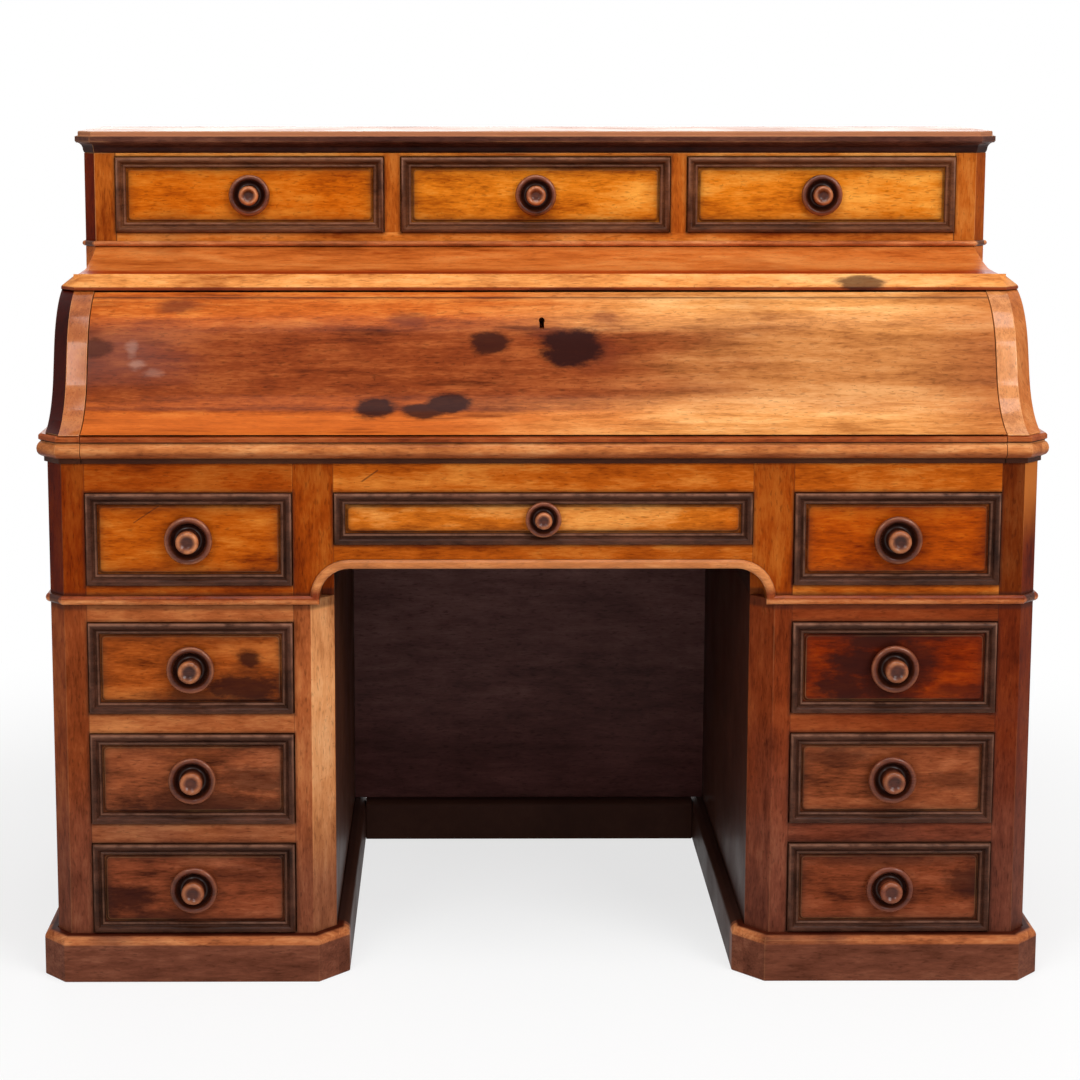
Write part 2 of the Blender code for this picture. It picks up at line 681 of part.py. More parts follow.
def make_fall():
    """The ogee fall, its pivot arms and its lock, all turning on one axis."""
    pivot = at(0, PIVOT_DEPTH, PIVOT_HEIGHT)
    half = SLOT_HALF_WIDTH - FALL_END_GAP
    inner = above(ogee(FALL_THICK), TOE_HEIGHT)
    outline = ogee() + list(reversed(inner))
    fall = add("fall", side_prism(outline, -half, half), "fall_wood", pivot, 30)

    key_height = OGEE_TOP[1] - KEYHOLE_DROP
    eye = arc((0, key_height), KEYHOLE_RADIUS, -math.pi / 4, math.pi * 5 / 4, 9)
    foot = key_height - KEYHOLE_SKIRT
    keyhole = eye + [(-KEYHOLE_FLARE, foot), (KEYHOLE_FLARE, foot)]
    boolean(fall, [front_prism(keyhole, TOE_DEPTH, GALLERY_FACE)], "DIFFERENCE")

    seat = [p for p in ogee(FALL_THICK + SEAT_GAP) if ARM_FOOT < p[1] - BED_TOP < ARM_HEAD]
    boss = arc((PIVOT_DEPTH, PIVOT_HEIGHT), ARM_BOSS, math.radians(80), math.radians(-170), 10)
    for side, name in ((-1, "left_fall_arm"), (1, "right_fall_arm")):
        plate = side_prism(seat + boss, side * (half - ARM_THICK), side * half)
        arm = add(name, plate, "brass", pivot)
        pin = disc((PIVOT_DEPTH, PIVOT_HEIGHT), PIN_RADIUS, PIN_SIDES)
        reach = SLOT_HALF_WIDTH + PIN_REACH
        boolean(arm, [side_prism(pin, side * (half - ARM_THICK / 2), side * reach)], "UNION")

    inside = ogee(FALL_THICK + SEAT_GAP)
    near = min(range(len(inside) - 1), key=lambda i: abs(inside[i][1] - key_height))
    first, second = Vector(inside[near]), Vector(inside[near + 1])
    along = (second - first).normalized()
    inward = Vector((along.y, -along.x))
    sagitta = LOCK_HEIGHT**2 / (8 * (UPPER_RADIUS - FALL_THICK))
    base = (first + second) / 2 + inward * sagitta
    step = along * LOCK_HEIGHT / 2
    corners = [base - step, base + step, base + step + inward * LOCK_THICK]
    corners.append(base - step + inward * LOCK_THICK)
    add("fall_lock", side_prism(corners, -LOCK_HALF_WIDTH, LOCK_HALF_WIDTH), "brass", pivot)


def make_shelf():
    """The scooped shelf over the fall. Its sloping nose returns round the canted corners and the sides."""

    def plan(out):
        return canted_plan(
            -CASE_HALF_WIDTH, CASE_HALF_WIDTH, NOSE_FRONT, CASE_DEPTH, (CANT, CANT), out
        )

    brow = SHELF_UNDER + NOSE_THICK
    levels = (
        (SHELF_UNDER, 0.0),
        (SHELF_UNDER + NOSE_EDGE, 0.0),
        (SHELF_UNDER + NOSE_EDGE + NOSE_SOFT, -NOSE_SOFT / 2),
        (brow - NOSE_SOFT, NOSE_SOFT - NOSE_RUN),
        (brow, -NOSE_RUN),
    )
    shelf = add("shelf", plan_loft(levels, plan), "gallery_wood", smooth=30)

    start = NOSE_FRONT + NOSE_RUN
    low = brow - SCOOP_DIP
    bottom = NOSE_FRONT + SCOOP_RUN
    scoop = []
    for i in range(SCOOP_STEPS + 1):
        depth = start + (GALLERY_FACE - start) * i / SCOOP_STEPS
        if depth < bottom:
            share = (bottom - depth) / (bottom - start)
            scoop.append((depth, low + SCOOP_DIP * share**2))
        else:
            share = (depth - bottom) / (GALLERY_FACE - bottom)
            scoop.append((depth, low + (GALLERY_BASE - low) * share**2))
    seat = SHELF_UNDER + NOSE_EDGE
    half = CASE_HALF_WIDTH - GALLERY_CANT
    riser = box((-half, half), (start, GALLERY_FACE + BOARD), (seat, GALLERY_BASE))
    bed = plan_loft(((seat, 0.0), (GALLERY_BASE, 0.0)), gallery_plan)
    boolean(shelf, (riser, bed), "UNION")

    hollow = scoop + [(GALLERY_FACE, GALLERY_TOP), (start, GALLERY_TOP)]
    pocket = box(
        (-SLOT_HALF_WIDTH, SLOT_HALF_WIDTH),
        (GALLERY_FACE, INNER_BACK),
        (SHELF_UNDER - BOARD, GALLERY_BASE - BOARD),
    )
    boolean(shelf, (side_prism(hollow, -CASE_HALF_WIDTH - CANT, CASE_HALF_WIDTH + CANT), pocket), "DIFFERENCE")


def gallery_plan(out):
    return canted_plan(
        -CASE_HALF_WIDTH,
        CASE_HALF_WIDTH,
        GALLERY_FACE,
        CASE_DEPTH,
        (GALLERY_CANT, GALLERY_CANT),
        out,
    )


def make_gallery():
    levels = ((GALLERY_BASE + SEAT_GAP, 0.0), (GALLERY_TOP - SEAT_GAP, 0.0))
    case = add("gallery_case", plan_loft(levels, lambda out: gallery_plan(0.0)), "gallery_wood")
    ceiling = GALLERY_DRAWER[1] + DRAWER_GAP
    left = (-GALLERY_SIDE[1], -GALLERY_SIDE[0])
    cutters = []
    for x in (left, (-GALLERY_CENTRE_HALF, GALLERY_CENTRE_HALF), GALLERY_SIDE):
        walls = (x[0] - DRAWER_GAP - DUST_BOARD, x[1] + DRAWER_GAP + DUST_BOARD)
        cutters += drawer_bay(x, GALLERY_DRAWER, GALLERY_FACE, INNER_BACK, ceiling, walls)
    boolean(case, cutters, "DIFFERENCE")

    plan = gallery_plan(SEAT_GAP)
    height = GALLERY_BASE + SEAT_GAP + GALLERY_BEAD_WIDTH / 2
    points = [at(x, d, height) for x, d in (plan[5], *plan[:5])]
    side, cant, front = Vector((1, 0, 0)), Vector((1, -1, 0)).normalized(), Vector((0, -1, 0))
    normals = [-side, Vector((-cant.x, cant.y, 0)), front, cant, side]
    profile = half_round(GALLERY_BEAD_WIDTH, GALLERY_BEAD_OUT)
    add("gallery_bead", sweep(points, normals, profile, False), "moulding_wood", smooth=50)

    foot = GALLERY_TOP + CORNICE_FOOT
    top = GALLERY_TOP + CORNICE_HEIGHT
    band = top - CORNICE_FILLET - CORNICE_STEP
    levels = [(GALLERY_TOP, 0.0)]
    for angle in (math.radians(turn) for turn in range(0, 91, 18)):
        hollow_out = CORNICE_FOOT_OUT + CORNICE_HOLLOW_OUT * (1 - math.cos(angle))
        levels.append((foot + CORNICE_HOLLOW * math.sin(angle), hollow_out))
    levels += [
        (band - CORNICE_BAND, CORNICE_OUT),
        (band, CORNICE_OUT),
        (top - CORNICE_FILLET, CORNICE_FILLET_OUT),
        (top - CORNICE_SOFT, CORNICE_FILLET_OUT),
        (top, CORNICE_FILLET_OUT - CORNICE_SOFT),
    ]
    add("cornice_top", plan_loft(levels, gallery_plan), "gallery_wood", smooth=35)


def make_interior():
    """The back behind the writing space, and a set of pigeonholes."""
    half = SLOT_HALF_WIDTH - SEAT_GAP
    heights = (BED_TOP + SEAT_GAP, SHELF_UNDER - SEAT_GAP)
    add("upper_back", box((-half, half), (INNER_BACK, CASE_DEPTH), heights), "inner_wood")
    half -= PIGEON_CLEAR
    back = INNER_BACK - SEAT_GAP
    unit = add("pigeonholes", box((-half, half), (PIGEON_FRONT, back), heights), "inner_wood")
    pitch = (2 * half - PIGEON_BOARD) / PIGEON_CELLS
    cells = []
    for i in range(PIGEON_CELLS):
        x = -half + PIGEON_BOARD + i * pitch
        cells.append(
            box(
                (x, x + pitch - PIGEON_BOARD),
                (PIGEON_FRONT - PIGEON_BOARD, back - PIGEON_BOARD),
                (heights[0] + PIGEON_BOARD, heights[1] - PIGEON_BOARD),
            )
        )
    boolean(unit, cells, "DIFFERENCE")


def knob(radius):
    """A knob turned about the depth axis."""
    length = radius * KNOB_LENGTH_RATIO
    bm = bmesh.new()
    line = [bm.verts.new((r * radius, -h * length, 0)) for r, h in KNOB_SHAPE]
    edges = [bm.edges.new(pair) for pair in zip(line, line[1:])]
    bmesh.ops.spin(
        bm,
        geom=line + edges,
        axis=(0, 1, 0),
        cent=(0, 0, 0),
        angle=math.tau,
        steps=KNOB_SIDES,
        use_merge=True,
    )
    bmesh.ops.remove_doubles(bm, verts=bm.verts, dist=0.00001)
    bmesh.ops.holes_fill(bm, edges=bm.edges, sides=KNOB_SIDES)
    return bm


def make_drawer(name, x, z, face, length, knob_radius, slot):
    """One drawer: its box with a raised field on the front, the mitred frame round it, and its knob."""
    front = face + FRONT_RECESS
    side_top = z[1] - SIDE_DROP
    back = front + length
    outline = [
        (front, z[0]),
        (front, z[1]),
        (front + FRONT_THICK, z[1]),
        (front + FRONT_THICK, side_top),
        (back, side_top),
        (back, z[0]),
    ]
    centre = at((x[0] + x[1]) / 2, front, (z[0] + z[1]) / 2)
    bm = side_prism(outline, x[0], x[1])
    bmesh.ops.recalc_face_normals(bm, faces=bm.faces)
    field = [min(bm.faces, key=lambda face: face.calc_center_median().y)]
    bmesh.ops.inset_region(bm, faces=field, thickness=FRAME_WIDTH + FIELD_GAP, use_even_offset=True)
    bmesh.ops.inset_region(bm, faces=field, thickness=FIELD_SOFT, depth=FIELD_RISE, use_even_offset=True)
    rim = set(field[0].edges)
    slopes = [
        edge
        for vert in field[0].verts
        for edge in vert.link_edges
        if edge not in rim
    ]
    bmesh.ops.bevel(
        bm,
        geom=slopes,
        affect="EDGES",
        offset=FIELD_CORNER,
        segments=FIELD_CORNER_STEPS,
        profile=0.5,
        material=-1,
    )
    drawer = add(f"{name}_drawer", bm, slot, centre)
    inside = box(
        (x[0] + DRAWER_SIDE, x[1] - DRAWER_SIDE),
        (front + FRONT_THICK, back - DRAWER_SIDE),
        (z[0] + DRAWER_FLOOR, z[1] + BOARD),
    )
    boolean(drawer, [inside], "DIFFERENCE")

    profile = [(a * FRAME_WIDTH, b * FRAME_OUT) for a, b in FRAME_SHAPE]
    seat = front - SEAT_GAP
    corners = [at(x[1], seat, z[0]), at(x[0], seat, z[0]), at(x[0], seat, z[1]), at(x[1], seat, z[1])]
    outward = [Vector((0, -1, 0))] * 4
    frame = sweep(corners, outward, profile, True)
    add(f"{name}_drawer_moulding", frame, "moulding_wood", centre)

    turned = knob(knob_radius)
    seat = centre - Vector((0, FIELD_RISE + SEAT_GAP, 0))
    bmesh.ops.translate(turned, vec=seat, verts=turned.verts)
    add(f"{name}_drawer_knob", turned, "knob_wood", seat, 50)


def make_drawers():
    columns = {
        "left": (-COLUMN_OUTER, -COLUMN_INNER),
        "right": (COLUMN_INNER, COLUMN_OUTER),
    }
    rows = {"upper": UPPER_DRAWER, "middle": MIDDLE_DRAWER, "lower": LOWER_DRAWER}
    for side, x in columns.items():
        for row, z in rows.items():
            make_drawer(f"{side}_{row}", x, z, 0.0, DEEP_DRAWER_LENGTH, KNOB_RADIUS, "pedestal_wood")
        make_drawer(
            f"frieze_{side}", x, FRIEZE_DRAWER, 0.0, DEEP_DRAWER_LENGTH, KNOB_RADIUS, "case_wood"
        )
    centre = (-CENTRE_HALF_WIDTH, CENTRE_HALF_WIDTH)
    make_drawer(
        "frieze_centre", centre, CENTRE_DRAWER, 0.0, DEEP_DRAWER_LENGTH, CENTRE_KNOB_RADIUS, "case_wood"
    )
    gallery = {
        "left": (-GALLERY_SIDE[1], -GALLERY_SIDE[0]),
        "centre": (-GALLERY_CENTRE_HALF, GALLERY_CENTRE_HALF),
        "right": GALLERY_SIDE,
    }
    for side, x in gallery.items():
        make_drawer(
            f"gallery_{side}",
            x,
            GALLERY_DRAWER,
            GALLERY_FACE,
            GALLERY_DRAWER_LENGTH,
            GALLERY_KNOB_RADIUS,
            "gallery_wood",
        )


clear_scene()
make_plinths()
make_pedestals()
make_frieze()
make_string_bead()
make_bed()
make_slide()
make_ogee_ends()
make_fall()
make_shelf()
make_gallery()
make_interior()
make_drawers()
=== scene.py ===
# %% [markdown]
# # A pedestal writing bureau in old mahogany
# The packed solids give every board its place. This lesson gives them the looks of an old bureau:
# soft edges, moulded drawer frames, turned knobs, and polished, stained and rubbed wood.
# Each piece takes its place from a solid, so nothing has to be fitted by eye.

# %% Load the frame
import json
import math

import bmesh
import bpy
from mathutils import Matrix, Vector


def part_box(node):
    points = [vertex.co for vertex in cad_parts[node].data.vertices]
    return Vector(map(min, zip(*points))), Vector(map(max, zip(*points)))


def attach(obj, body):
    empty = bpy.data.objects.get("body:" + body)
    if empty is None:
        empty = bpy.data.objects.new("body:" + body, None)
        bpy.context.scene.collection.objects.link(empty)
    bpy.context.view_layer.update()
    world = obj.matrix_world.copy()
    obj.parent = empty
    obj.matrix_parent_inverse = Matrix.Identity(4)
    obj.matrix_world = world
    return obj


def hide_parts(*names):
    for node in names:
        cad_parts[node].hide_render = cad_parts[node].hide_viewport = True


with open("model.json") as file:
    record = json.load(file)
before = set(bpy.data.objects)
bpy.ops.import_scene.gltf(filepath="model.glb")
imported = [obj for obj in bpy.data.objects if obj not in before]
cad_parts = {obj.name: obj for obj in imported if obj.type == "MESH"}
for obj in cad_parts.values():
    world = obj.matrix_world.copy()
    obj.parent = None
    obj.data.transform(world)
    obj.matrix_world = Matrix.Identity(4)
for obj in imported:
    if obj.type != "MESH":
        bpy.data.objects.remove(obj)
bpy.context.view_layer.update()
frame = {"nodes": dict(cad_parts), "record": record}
nodes = frame["nodes"]
bodies = frame["record"]["behaviour"]["bodies"]
body_of = {node: body for body, members in bodies.items() for node in members}

# %% [markdown]
# ## The camera
# The photograph was taken from a little left of the middle and from above the desk, with a long lens
# that keeps the uprights straight. A tilted camera would let them lean, so part of the tilt is a lens
# shift instead. More shift would match better still, but it would push the bureau out of other views.

# %% Place the camera
CAMERA_PLACE = (-0.121, -3.606, 1.344)
CAMERA_TILT = math.radians(7.76)
CAMERA_PAN = math.radians(0.26)
SENSOR, LENS = 36, 77.4
SHIFT = (0.065, -0.15)

camera = bpy.data.objects.new("camera", bpy.data.cameras.new("camera"))
camera.location = CAMERA_PLACE
camera.rotation_euler = (math.pi / 2 - CAMERA_TILT, 0, -CAMERA_PAN)
camera.data.sensor_width = SENSOR
camera.data.lens = LENS
camera.data.shift_x, camera.data.shift_y = SHIFT
bpy.context.scene.collection.objects.link(camera)
bpy.context.scene.camera = camera
bpy.context.scene.view_settings.view_transform = "Standard"
print("camera at", CAMERA_PLACE, "lens", LENS)

# %% [markdown]
# ## Writing shader maths in Python
# A wood finish is mostly sums: noise stretched along the grain, masks for stains, a bit of wear.
# Wiring each sum by hand hides the idea. This small class wraps a socket, so that a sum on wires
# adds its own Math nodes, and `node` adds any other kind of node.


# %% A wrapper for shader sockets
class Wire:
    """A shader socket that can be used in sums, and that can add nodes after itself."""

    def __init__(self, tree, socket=None):
        self.tree, self.socket = tree, socket

    def node(self, kind, settings=None, inputs=None, output=0):
        """Adds a node: its settings first, then the values or wires of its sockets."""
        made = self.tree.nodes.new(kind)
        for name, value in (settings or {}).items():
            if name == "stops":
                for _ in range(len(value) - 2):
                    made.color_ramp.elements.new(0.5)
                for element, (position, colour) in zip(made.color_ramp.elements, value):
                    element.position, element.color = position, colour
            else:
                setattr(made, name, value)
        for key, value in (inputs or {}).items():
            if isinstance(value, Wire):
                self.tree.links.new(value.socket, made.inputs[key])
            else:
                made.inputs[key].default_value = value
        return Wire(self.tree, made.outputs[output])

    def math(self, operation, *values):
        return self.node("ShaderNodeMath", {"operation": operation}, dict(enumerate(values)))

    def __add__(self, other):
        return self.math("ADD", self, other)

    __radd__ = __add__

    def __mul__(self, other):
        return self.math("MULTIPLY", self, other)

    __rmul__ = __mul__

    def __sub__(self, other):
        return self.math("SUBTRACT", self, other)

    def __rsub__(self, other):
        return self.math("SUBTRACT", other, self)

    def __truediv__(self, other):
        return self.math("DIVIDE", self, other)

    def __rtruediv__(self, other):
        return self.math("DIVIDE", other, self)

    def __pow__(self, other):
        return self.math("POWER", self, other)

    def __rpow__(self, other):
        return self.math("POWER", other, self)

    def __abs__(self):
        return self.math("ABSOLUTE", self)

    def least(self, other):
        return self.math("MINIMUM", self, other)

    def most(self, other):
        return self.math("MAXIMUM", self, other)

    def over(self, level):
        """1 where the value passes the level, and 0 elsewhere."""
        return self.math("GREATER_THAN", self, level)

    def under(self, level):
        return self.math("LESS_THAN", self, level)

    def fade(self, low, high):
        """Eases from 0 at low to 1 at high, and back the other way if low is the larger."""
        if low > high:
            return 1 - self.fade(high, low)
        settings = {"interpolation_type": "SMOOTHSTEP"}
        return self.node("ShaderNodeMapRange", settings, {"Value": self, "From Min": low, "From Max": high})

    def band(self, low, high, soft):
        """1 between low and high, with soft ends."""
        return self.fade(low - soft, low + soft) * self.fade(high + soft, high - soft)

    def split(self):
        return [self.node("ShaderNodeSeparateXYZ", None, {0: self}, axis) for axis in range(3)]

    def stretch(self, factors):
        return self.node("ShaderNodeVectorMath", {"operation": "MULTIPLY"}, {0: self, 1: factors})

    def shifted(self, offset):
        return self.node("ShaderNodeVectorMath", {"operation": "ADD"}, {0: self, 1: offset})

    def noise(self, scale, detail=2.0, roughness=0.5, distortion=0.0):
        """Noise from 0 to 1 on this vector."""
        values = {"Vector": self, "Scale": scale, "Detail": detail}
        values.update({"Roughness": roughness, "Distortion": distortion})
        return self.node("ShaderNodeTexNoise", None, values)

    def ramp(self, *stops):
        """A colour for this value: each stop is a position and its colour."""
        return self.node("ShaderNodeValToRGB", {"stops": stops}, {0: self})

    def blend(self, other, share):
        """This colour, mixed with another by a share."""
        settings = {"data_type": "RGBA", "clamp_factor": True}
        return self.node("ShaderNodeMix", settings, {0: share, 6: self, 7: other}, 2)

    def tint(self, colour, share):
        """This colour, multiplied by another by a share."""
        settings = {"data_type": "RGBA", "blend_type": "MULTIPLY", "clamp_factor": True}
        return self.node("ShaderNodeMix", settings, {0: share, 6: self, 7: colour}, 2)

    def pick(self, other, share):
        """This vector, or another where share is 1."""
        return self.node("ShaderNodeMix", {"data_type": "VECTOR"}, {0: share, 4: self, 5: other}, 1)


print("ready:", Wire.__doc__)

# %% [markdown]
# ## Colours and new finishes
# Colours are easiest to judge as they look on a screen, but a shader works in linear light, so `paint`
# turns the one into the other. A new finish always starts in the same way: a material, its shader, and
# the place on the piece, from which every pattern is drawn.

# %% Colours and new finishes
SCREEN_BEND, SCREEN_POWER = 0.055, 2.4
DARKEST_STEPS, DARKEST_SLOPE = 11, 12.92


def paint(red, green, blue):
    """A colour as it is seen on a screen, from 0 to 255, as the shader's linear values."""
    linear = []
    for level in (red, green, blue):
        share = level / 255
        bent = ((share + SCREEN_BEND) / (1 + SCREEN_BEND)) ** SCREEN_POWER
        linear.append(share / DARKEST_SLOPE if level < DARKEST_STEPS else bent)
    return (*linear, 1.0)


def tones(dark, middle, light):
    """The three colours of a wood, from its dark streaks to its light ones."""
    return paint(*dark), paint(*middle), paint(*light)


def new_finish(name):
    """A material with its shader, the place on the piece as a wire, and the three coordinates."""
    material = bpy.data.materials.new(name)
    material.use_nodes = True
    tree = material.node_tree
    place = Wire(tree).node("ShaderNodeTexCoord", output=3)
    return material, tree.nodes["Principled BSDF"], place, place.split()


def set_shader(shader, links, constants):
    """Links what varies, and sets what is the same all over on the shader's own sockets."""
    for name, wire in links.items():
        wire.tree.links.new(wire.socket, shader.inputs[name])
    for name, value in constants.items():
        shader.inputs[name].default_value = value


def strongest(masks):
    """The largest of several masks at each place."""
    first, *others = masks
    for mask in others:
        first = first.most(mask)
    return first


print("middle grey is", [round(n, 3) for n in paint(128, 128, 128)])

# %% [markdown]
# ## Lamps and dome
# The photograph is lit softly from above and from the right, so that corners which face right are bright
# and the others dim. One lamp would do for the front, but the bureau is looked at from all sides. So there
# is a large lamp at the right, a smaller one at the left whose reflection shows on the left end, one above
# and one behind. A dim dome fills the rest. Where the dome is seen, also in a gloss, it is plain white.

# %% Lamps and dome
DOME_LEVEL = 0.24
LAMPS = (
    ("key", (2.7, -3.3, 2.9), (2.2, 1.8), 100),
    ("fill", (-1.75, -3.0, 2.6), (1.2, 1.2), 32),
    ("top", (0.2, -1.2, 3.7), (2.6, 1.4), 62),
    ("back", (0.0, 3.4, 2.1), (4.0, 1.6), 40),
)
LAMP_AIM = Vector((0.0, -0.1, 0.65))
WHITE = (1, 1, 1, 1)


def meets_background(wire):
    """1 for the rays that show the white background: to the camera, in a gloss or through glass."""
    kinds = ("Is Camera Ray", "Is Glossy Ray", "Is Transmission Ray")
    return strongest([wire.node("ShaderNodeLightPath", output=kind) for kind in kinds])


world = bpy.data.worlds.new("studio")
world.use_nodes = True
bpy.context.scene.world = world
sky = Wire(world.node_tree)
dome = sky.node("ShaderNodeBackground", None, {"Color": WHITE, "Strength": DOME_LEVEL})
backdrop = sky.node("ShaderNodeBackground", None, {"Color": WHITE, "Strength": 1.0})
seen = sky.node("ShaderNodeMixShader", None, {0: meets_background(sky), 1: dome, 2: backdrop})
world.node_tree.links.new(seen.socket, world.node_tree.nodes["World Output"].inputs["Surface"])

for lamp_name, lamp_place, lamp_size, watts in LAMPS:
    lamp = bpy.data.objects.new(lamp_name, bpy.data.lights.new(lamp_name, "AREA"))
    lamp.data.shape = "RECTANGLE"
    lamp.data.size, lamp.data.size_y = lamp_size
    lamp.data.energy = watts
    lamp.location = lamp_place
    lamp.rotation_euler = (LAMP_AIM - lamp.location).to_track_quat("-Z", "Y").to_euler()
    bpy.context.scene.collection.objects.link(lamp)
print(len(LAMPS), "lamps and a dome of", DOME_LEVEL)

# %% [markdown]
# ## The floor
# The bureau stands on a white floor with hardly any shadow. A plain white floor would turn grey under
# soft lamps, and none at all would let the bureau float. So the floor is a matt surface mixed with a white
# glow: all glow far away, where no horizon may show, and a little less of it near the bureau, which
# leaves a faint shadow at the plinths.

# %% The floor
FLOOR_HALF = 9.0
FLOOR_DROP = 0.0004
FLOOR_PALE = (0.93, 0.93, 0.93, 1)
SHADOW_NEAR, SHADOW_FAR, SHADOW_SHARE = 0.9, 1.9, 0.28

floor_bm = bmesh.new()
bmesh.ops.create_grid(floor_bm, x_segments=1, y_segments=1, size=FLOOR_HALF)
bmesh.ops.translate(floor_bm, vec=(0, 0, -FLOOR_DROP), verts=floor_bm.verts)
floor_mesh = bpy.data.meshes.new("floor")
floor_bm.to_mesh(floor_mesh)
floor_bm.free()
floor = bpy.data.objects.new("floor", floor_mesh)
bpy.context.scene.collection.objects.link(floor)

floor_finish, matt, ground, (ground_x, ground_y, _) = new_finish("pale_floor")
set_shader(matt, {}, {"Base Color": FLOOR_PALE, "Roughness": 0.9, "Specular IOR Level": 0.1})
glow = ground.node("ShaderNodeEmission", None, {"Color": WHITE, "Strength": 1.0})
away = (ground_x * ground_x + ground_y * ground_y) ** 0.5
glowing = away.fade(SHADOW_NEAR, SHADOW_FAR) * SHADOW_SHARE + (1 - SHADOW_SHARE)
glowing = glowing * meets_background(ground)
mixed = ground.node("ShaderNodeMixShader", None, {0: glowing, 1: Wire(ground.tree, matt.outputs[0]), 2: glow})
ground.tree.links.new(mixed.socket, ground.tree.nodes["Material Output"].inputs["Surface"])
floor_mesh.materials.append(floor_finish)
print("floor of", 2 * FLOOR_HALF, "m")

# %% [markdown]
# ## The grain
# Mahogany has broad soft figure, fine dark streaks along the grain, and short open pores.
# One photograph of a board would do for one board, but here the grain has to run upright in the stiles
# and level in the rails, so the figure is noise, stretched along the grain and squeezed across it.
# `upright` and `inward` are masks that say where the grain turns up or runs back.

# %% The grain
FIGURE_ALONG, FIGURE_ACROSS, FIGURE_SHARE = 3.0, 12.0, 0.36
STREAK_ALONG, STREAK_ACROSS, STREAK_SHARE = 15.0, 72.0, 0.30
FIBRE_ALONG, FIBRE_ACROSS, FIBRE_SHARE = 70.0, 420.0, 0.16
PORE_ALONG, PORE_ACROSS, PORE_DEPTH = 80.0, 330.0, 0.36
BLOTCH_SCALE, BLOTCH_SHARE = (11.0, 22.0, 18.0), 0.18
SPECK_SCALE, CLOUD_SCALE, RUB_SCALE = 260.0, 6.5, 55.0
UPRIGHT_SHIFT, INWARD_SHIFT = (3.1, 0.7, 5.3), (1.9, 6.1, 2.3)
PORE_DARKER = 0.35


class Grain:
    """The figure of a board: value runs from dark to light wood, pores are short dark dashes."""

    def __init__(self, place, upright=None, inward=None, contrast=3.2, length=1.0):
        self.place, self.upright, self.inward = place, upright, inward
        figure = self.run(FIGURE_ALONG / length, FIGURE_ACROSS, 4, 0.55, 0.7)
        streak = self.run(STREAK_ALONG / length, STREAK_ACROSS, 4, 0.62)
        self.fibre = self.run(FIBRE_ALONG, FIBRE_ACROSS, 2, 0.6)
        dashes = self.run(PORE_ALONG, PORE_ACROSS, 1, 0.5)
        specks = place.noise(SPECK_SCALE, 1, 0.5)
        self.pores = dashes.fade(0.58, 0.74).most(specks.fade(0.66, 0.80))
        blotch = place.stretch(BLOTCH_SCALE).noise(1.0, 3, 0.6)
        mixed = figure * FIGURE_SHARE + streak * STREAK_SHARE
        mixed = mixed + self.fibre * FIBRE_SHARE + blotch * BLOTCH_SHARE
        self.value = (mixed - 0.5) * contrast + 0.5
        self.cloud = place.noise(CLOUD_SCALE, 3, 0.55)
        self.rub = place.noise(RUB_SCALE, 3, 0.6)

    def run(self, along, across, *noise):
        """Noise that runs along the grain, whichever way the grain goes."""
        place = self.place
        vector = place.stretch((along, across, across))
        if self.upright is not None:
            turned = place.stretch((across, across, along)).shifted(UPRIGHT_SHIFT)
            vector = vector.pick(turned, self.upright)
        if self.inward is not None:
            turned = place.stretch((across, along, across)).shifted(INWARD_SHIFT)
            vector = vector.pick(turned, self.inward)
        return vector.noise(1.0, *noise)

    def colour(self, wood):
        """The colour of the wood's three tones along this grain, with darker pores."""
        dark, middle, light = wood
        pore = (*(c * PORE_DARKER for c in dark[:3]), 1.0)
        return self.value.ramp((0.12, dark), (0.5, middle), (0.9, light)).blend(pore, self.pores * PORE_DEPTH)


print("streaks are", STREAK_ACROSS / STREAK_ALONG, "times as long as they are wide")

# %% [markdown]
# ## Wear and varnish
# Years of hands and dusters leave old edges pale and the varnish cloudy, and dirt darkens the corners,
# which here also carry painted shade. Painting this on each piece by hand would be slow and hard to change.
# So `aged` asks the mesh where it is worn, or dirty and shaded, and `polish` sets the gloss for every
# board. What faces the wall was never polished: it is plain wood.

# %% Wear and varnish
GRIME_AND_SHADE, SOOT = paint(40, 24, 20), paint(45, 16, 11)
BARE, DULL = paint(226, 164, 104), paint(150, 112, 104)
PLAIN_BACK = tones((98, 65, 42), (114, 77, 50), (128, 90, 60))
CASE_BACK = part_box("frieze_case")[1].y
REAR_DEPTH = 0.002
PORE_RELIEF = 0.0004
COAT_ROUGHNESS = 0.16


def attribute(wire, name):
    """A number that the mesh carries at each of its points."""
    return wire.node("ShaderNodeAttribute", {"attribute_name": name}, None, 2)


def aged(place, grain, colour, rubbed=0.5, dirt=0.30):
    """Dull clouds all over, then worn edges, and dirt with painted shade, where the attributes say so."""
    worn, grime = attribute(place, "worn"), attribute(place, "grime")
    colour = colour.tint(DULL, grain.cloud.fade(0.52, 0.74) * dirt)
    colour = colour.blend(BARE, worn * grain.cloud.fade(0.36, 0.62) * rubbed)
    # Painted shade: the mesh's number for dirt and shade darkens sunk and creased places, as dirt and as
    # shade.
    return colour.blend(GRIME_AND_SHADE, grime * (grain.rub * 0.5 + 0.55))


def polish(shader, place, grain, colour, gloss=0.32, coat=0.02, shine=0.03, bump=0.22, rear=CASE_BACK):
    """Old varnish over open grain: duller where it has clouded, with pores that catch the light."""
    colour = colour.blend(grain.colour(PLAIN_BACK), place.split()[1].over(rear - REAR_DEPTH))
    roughness = grain.cloud.fade(0.35, 0.75) * 0.16 + grain.fibre * 0.10 + gloss
    height = grain.fibre * 0.5 - grain.pores * 0.9
    bumps = {"Strength": bump, "Distance": PORE_RELIEF, "Height": height}
    relief = place.node("ShaderNodeBump", None, bumps)
    links = {"Base Color": colour, "Roughness": roughness, "Normal": relief}
    coats = {"Coat Weight": coat, "Coat Roughness": COAT_ROUGHNESS, "Specular IOR Level": shine}
    set_shader(shader, links, coats)


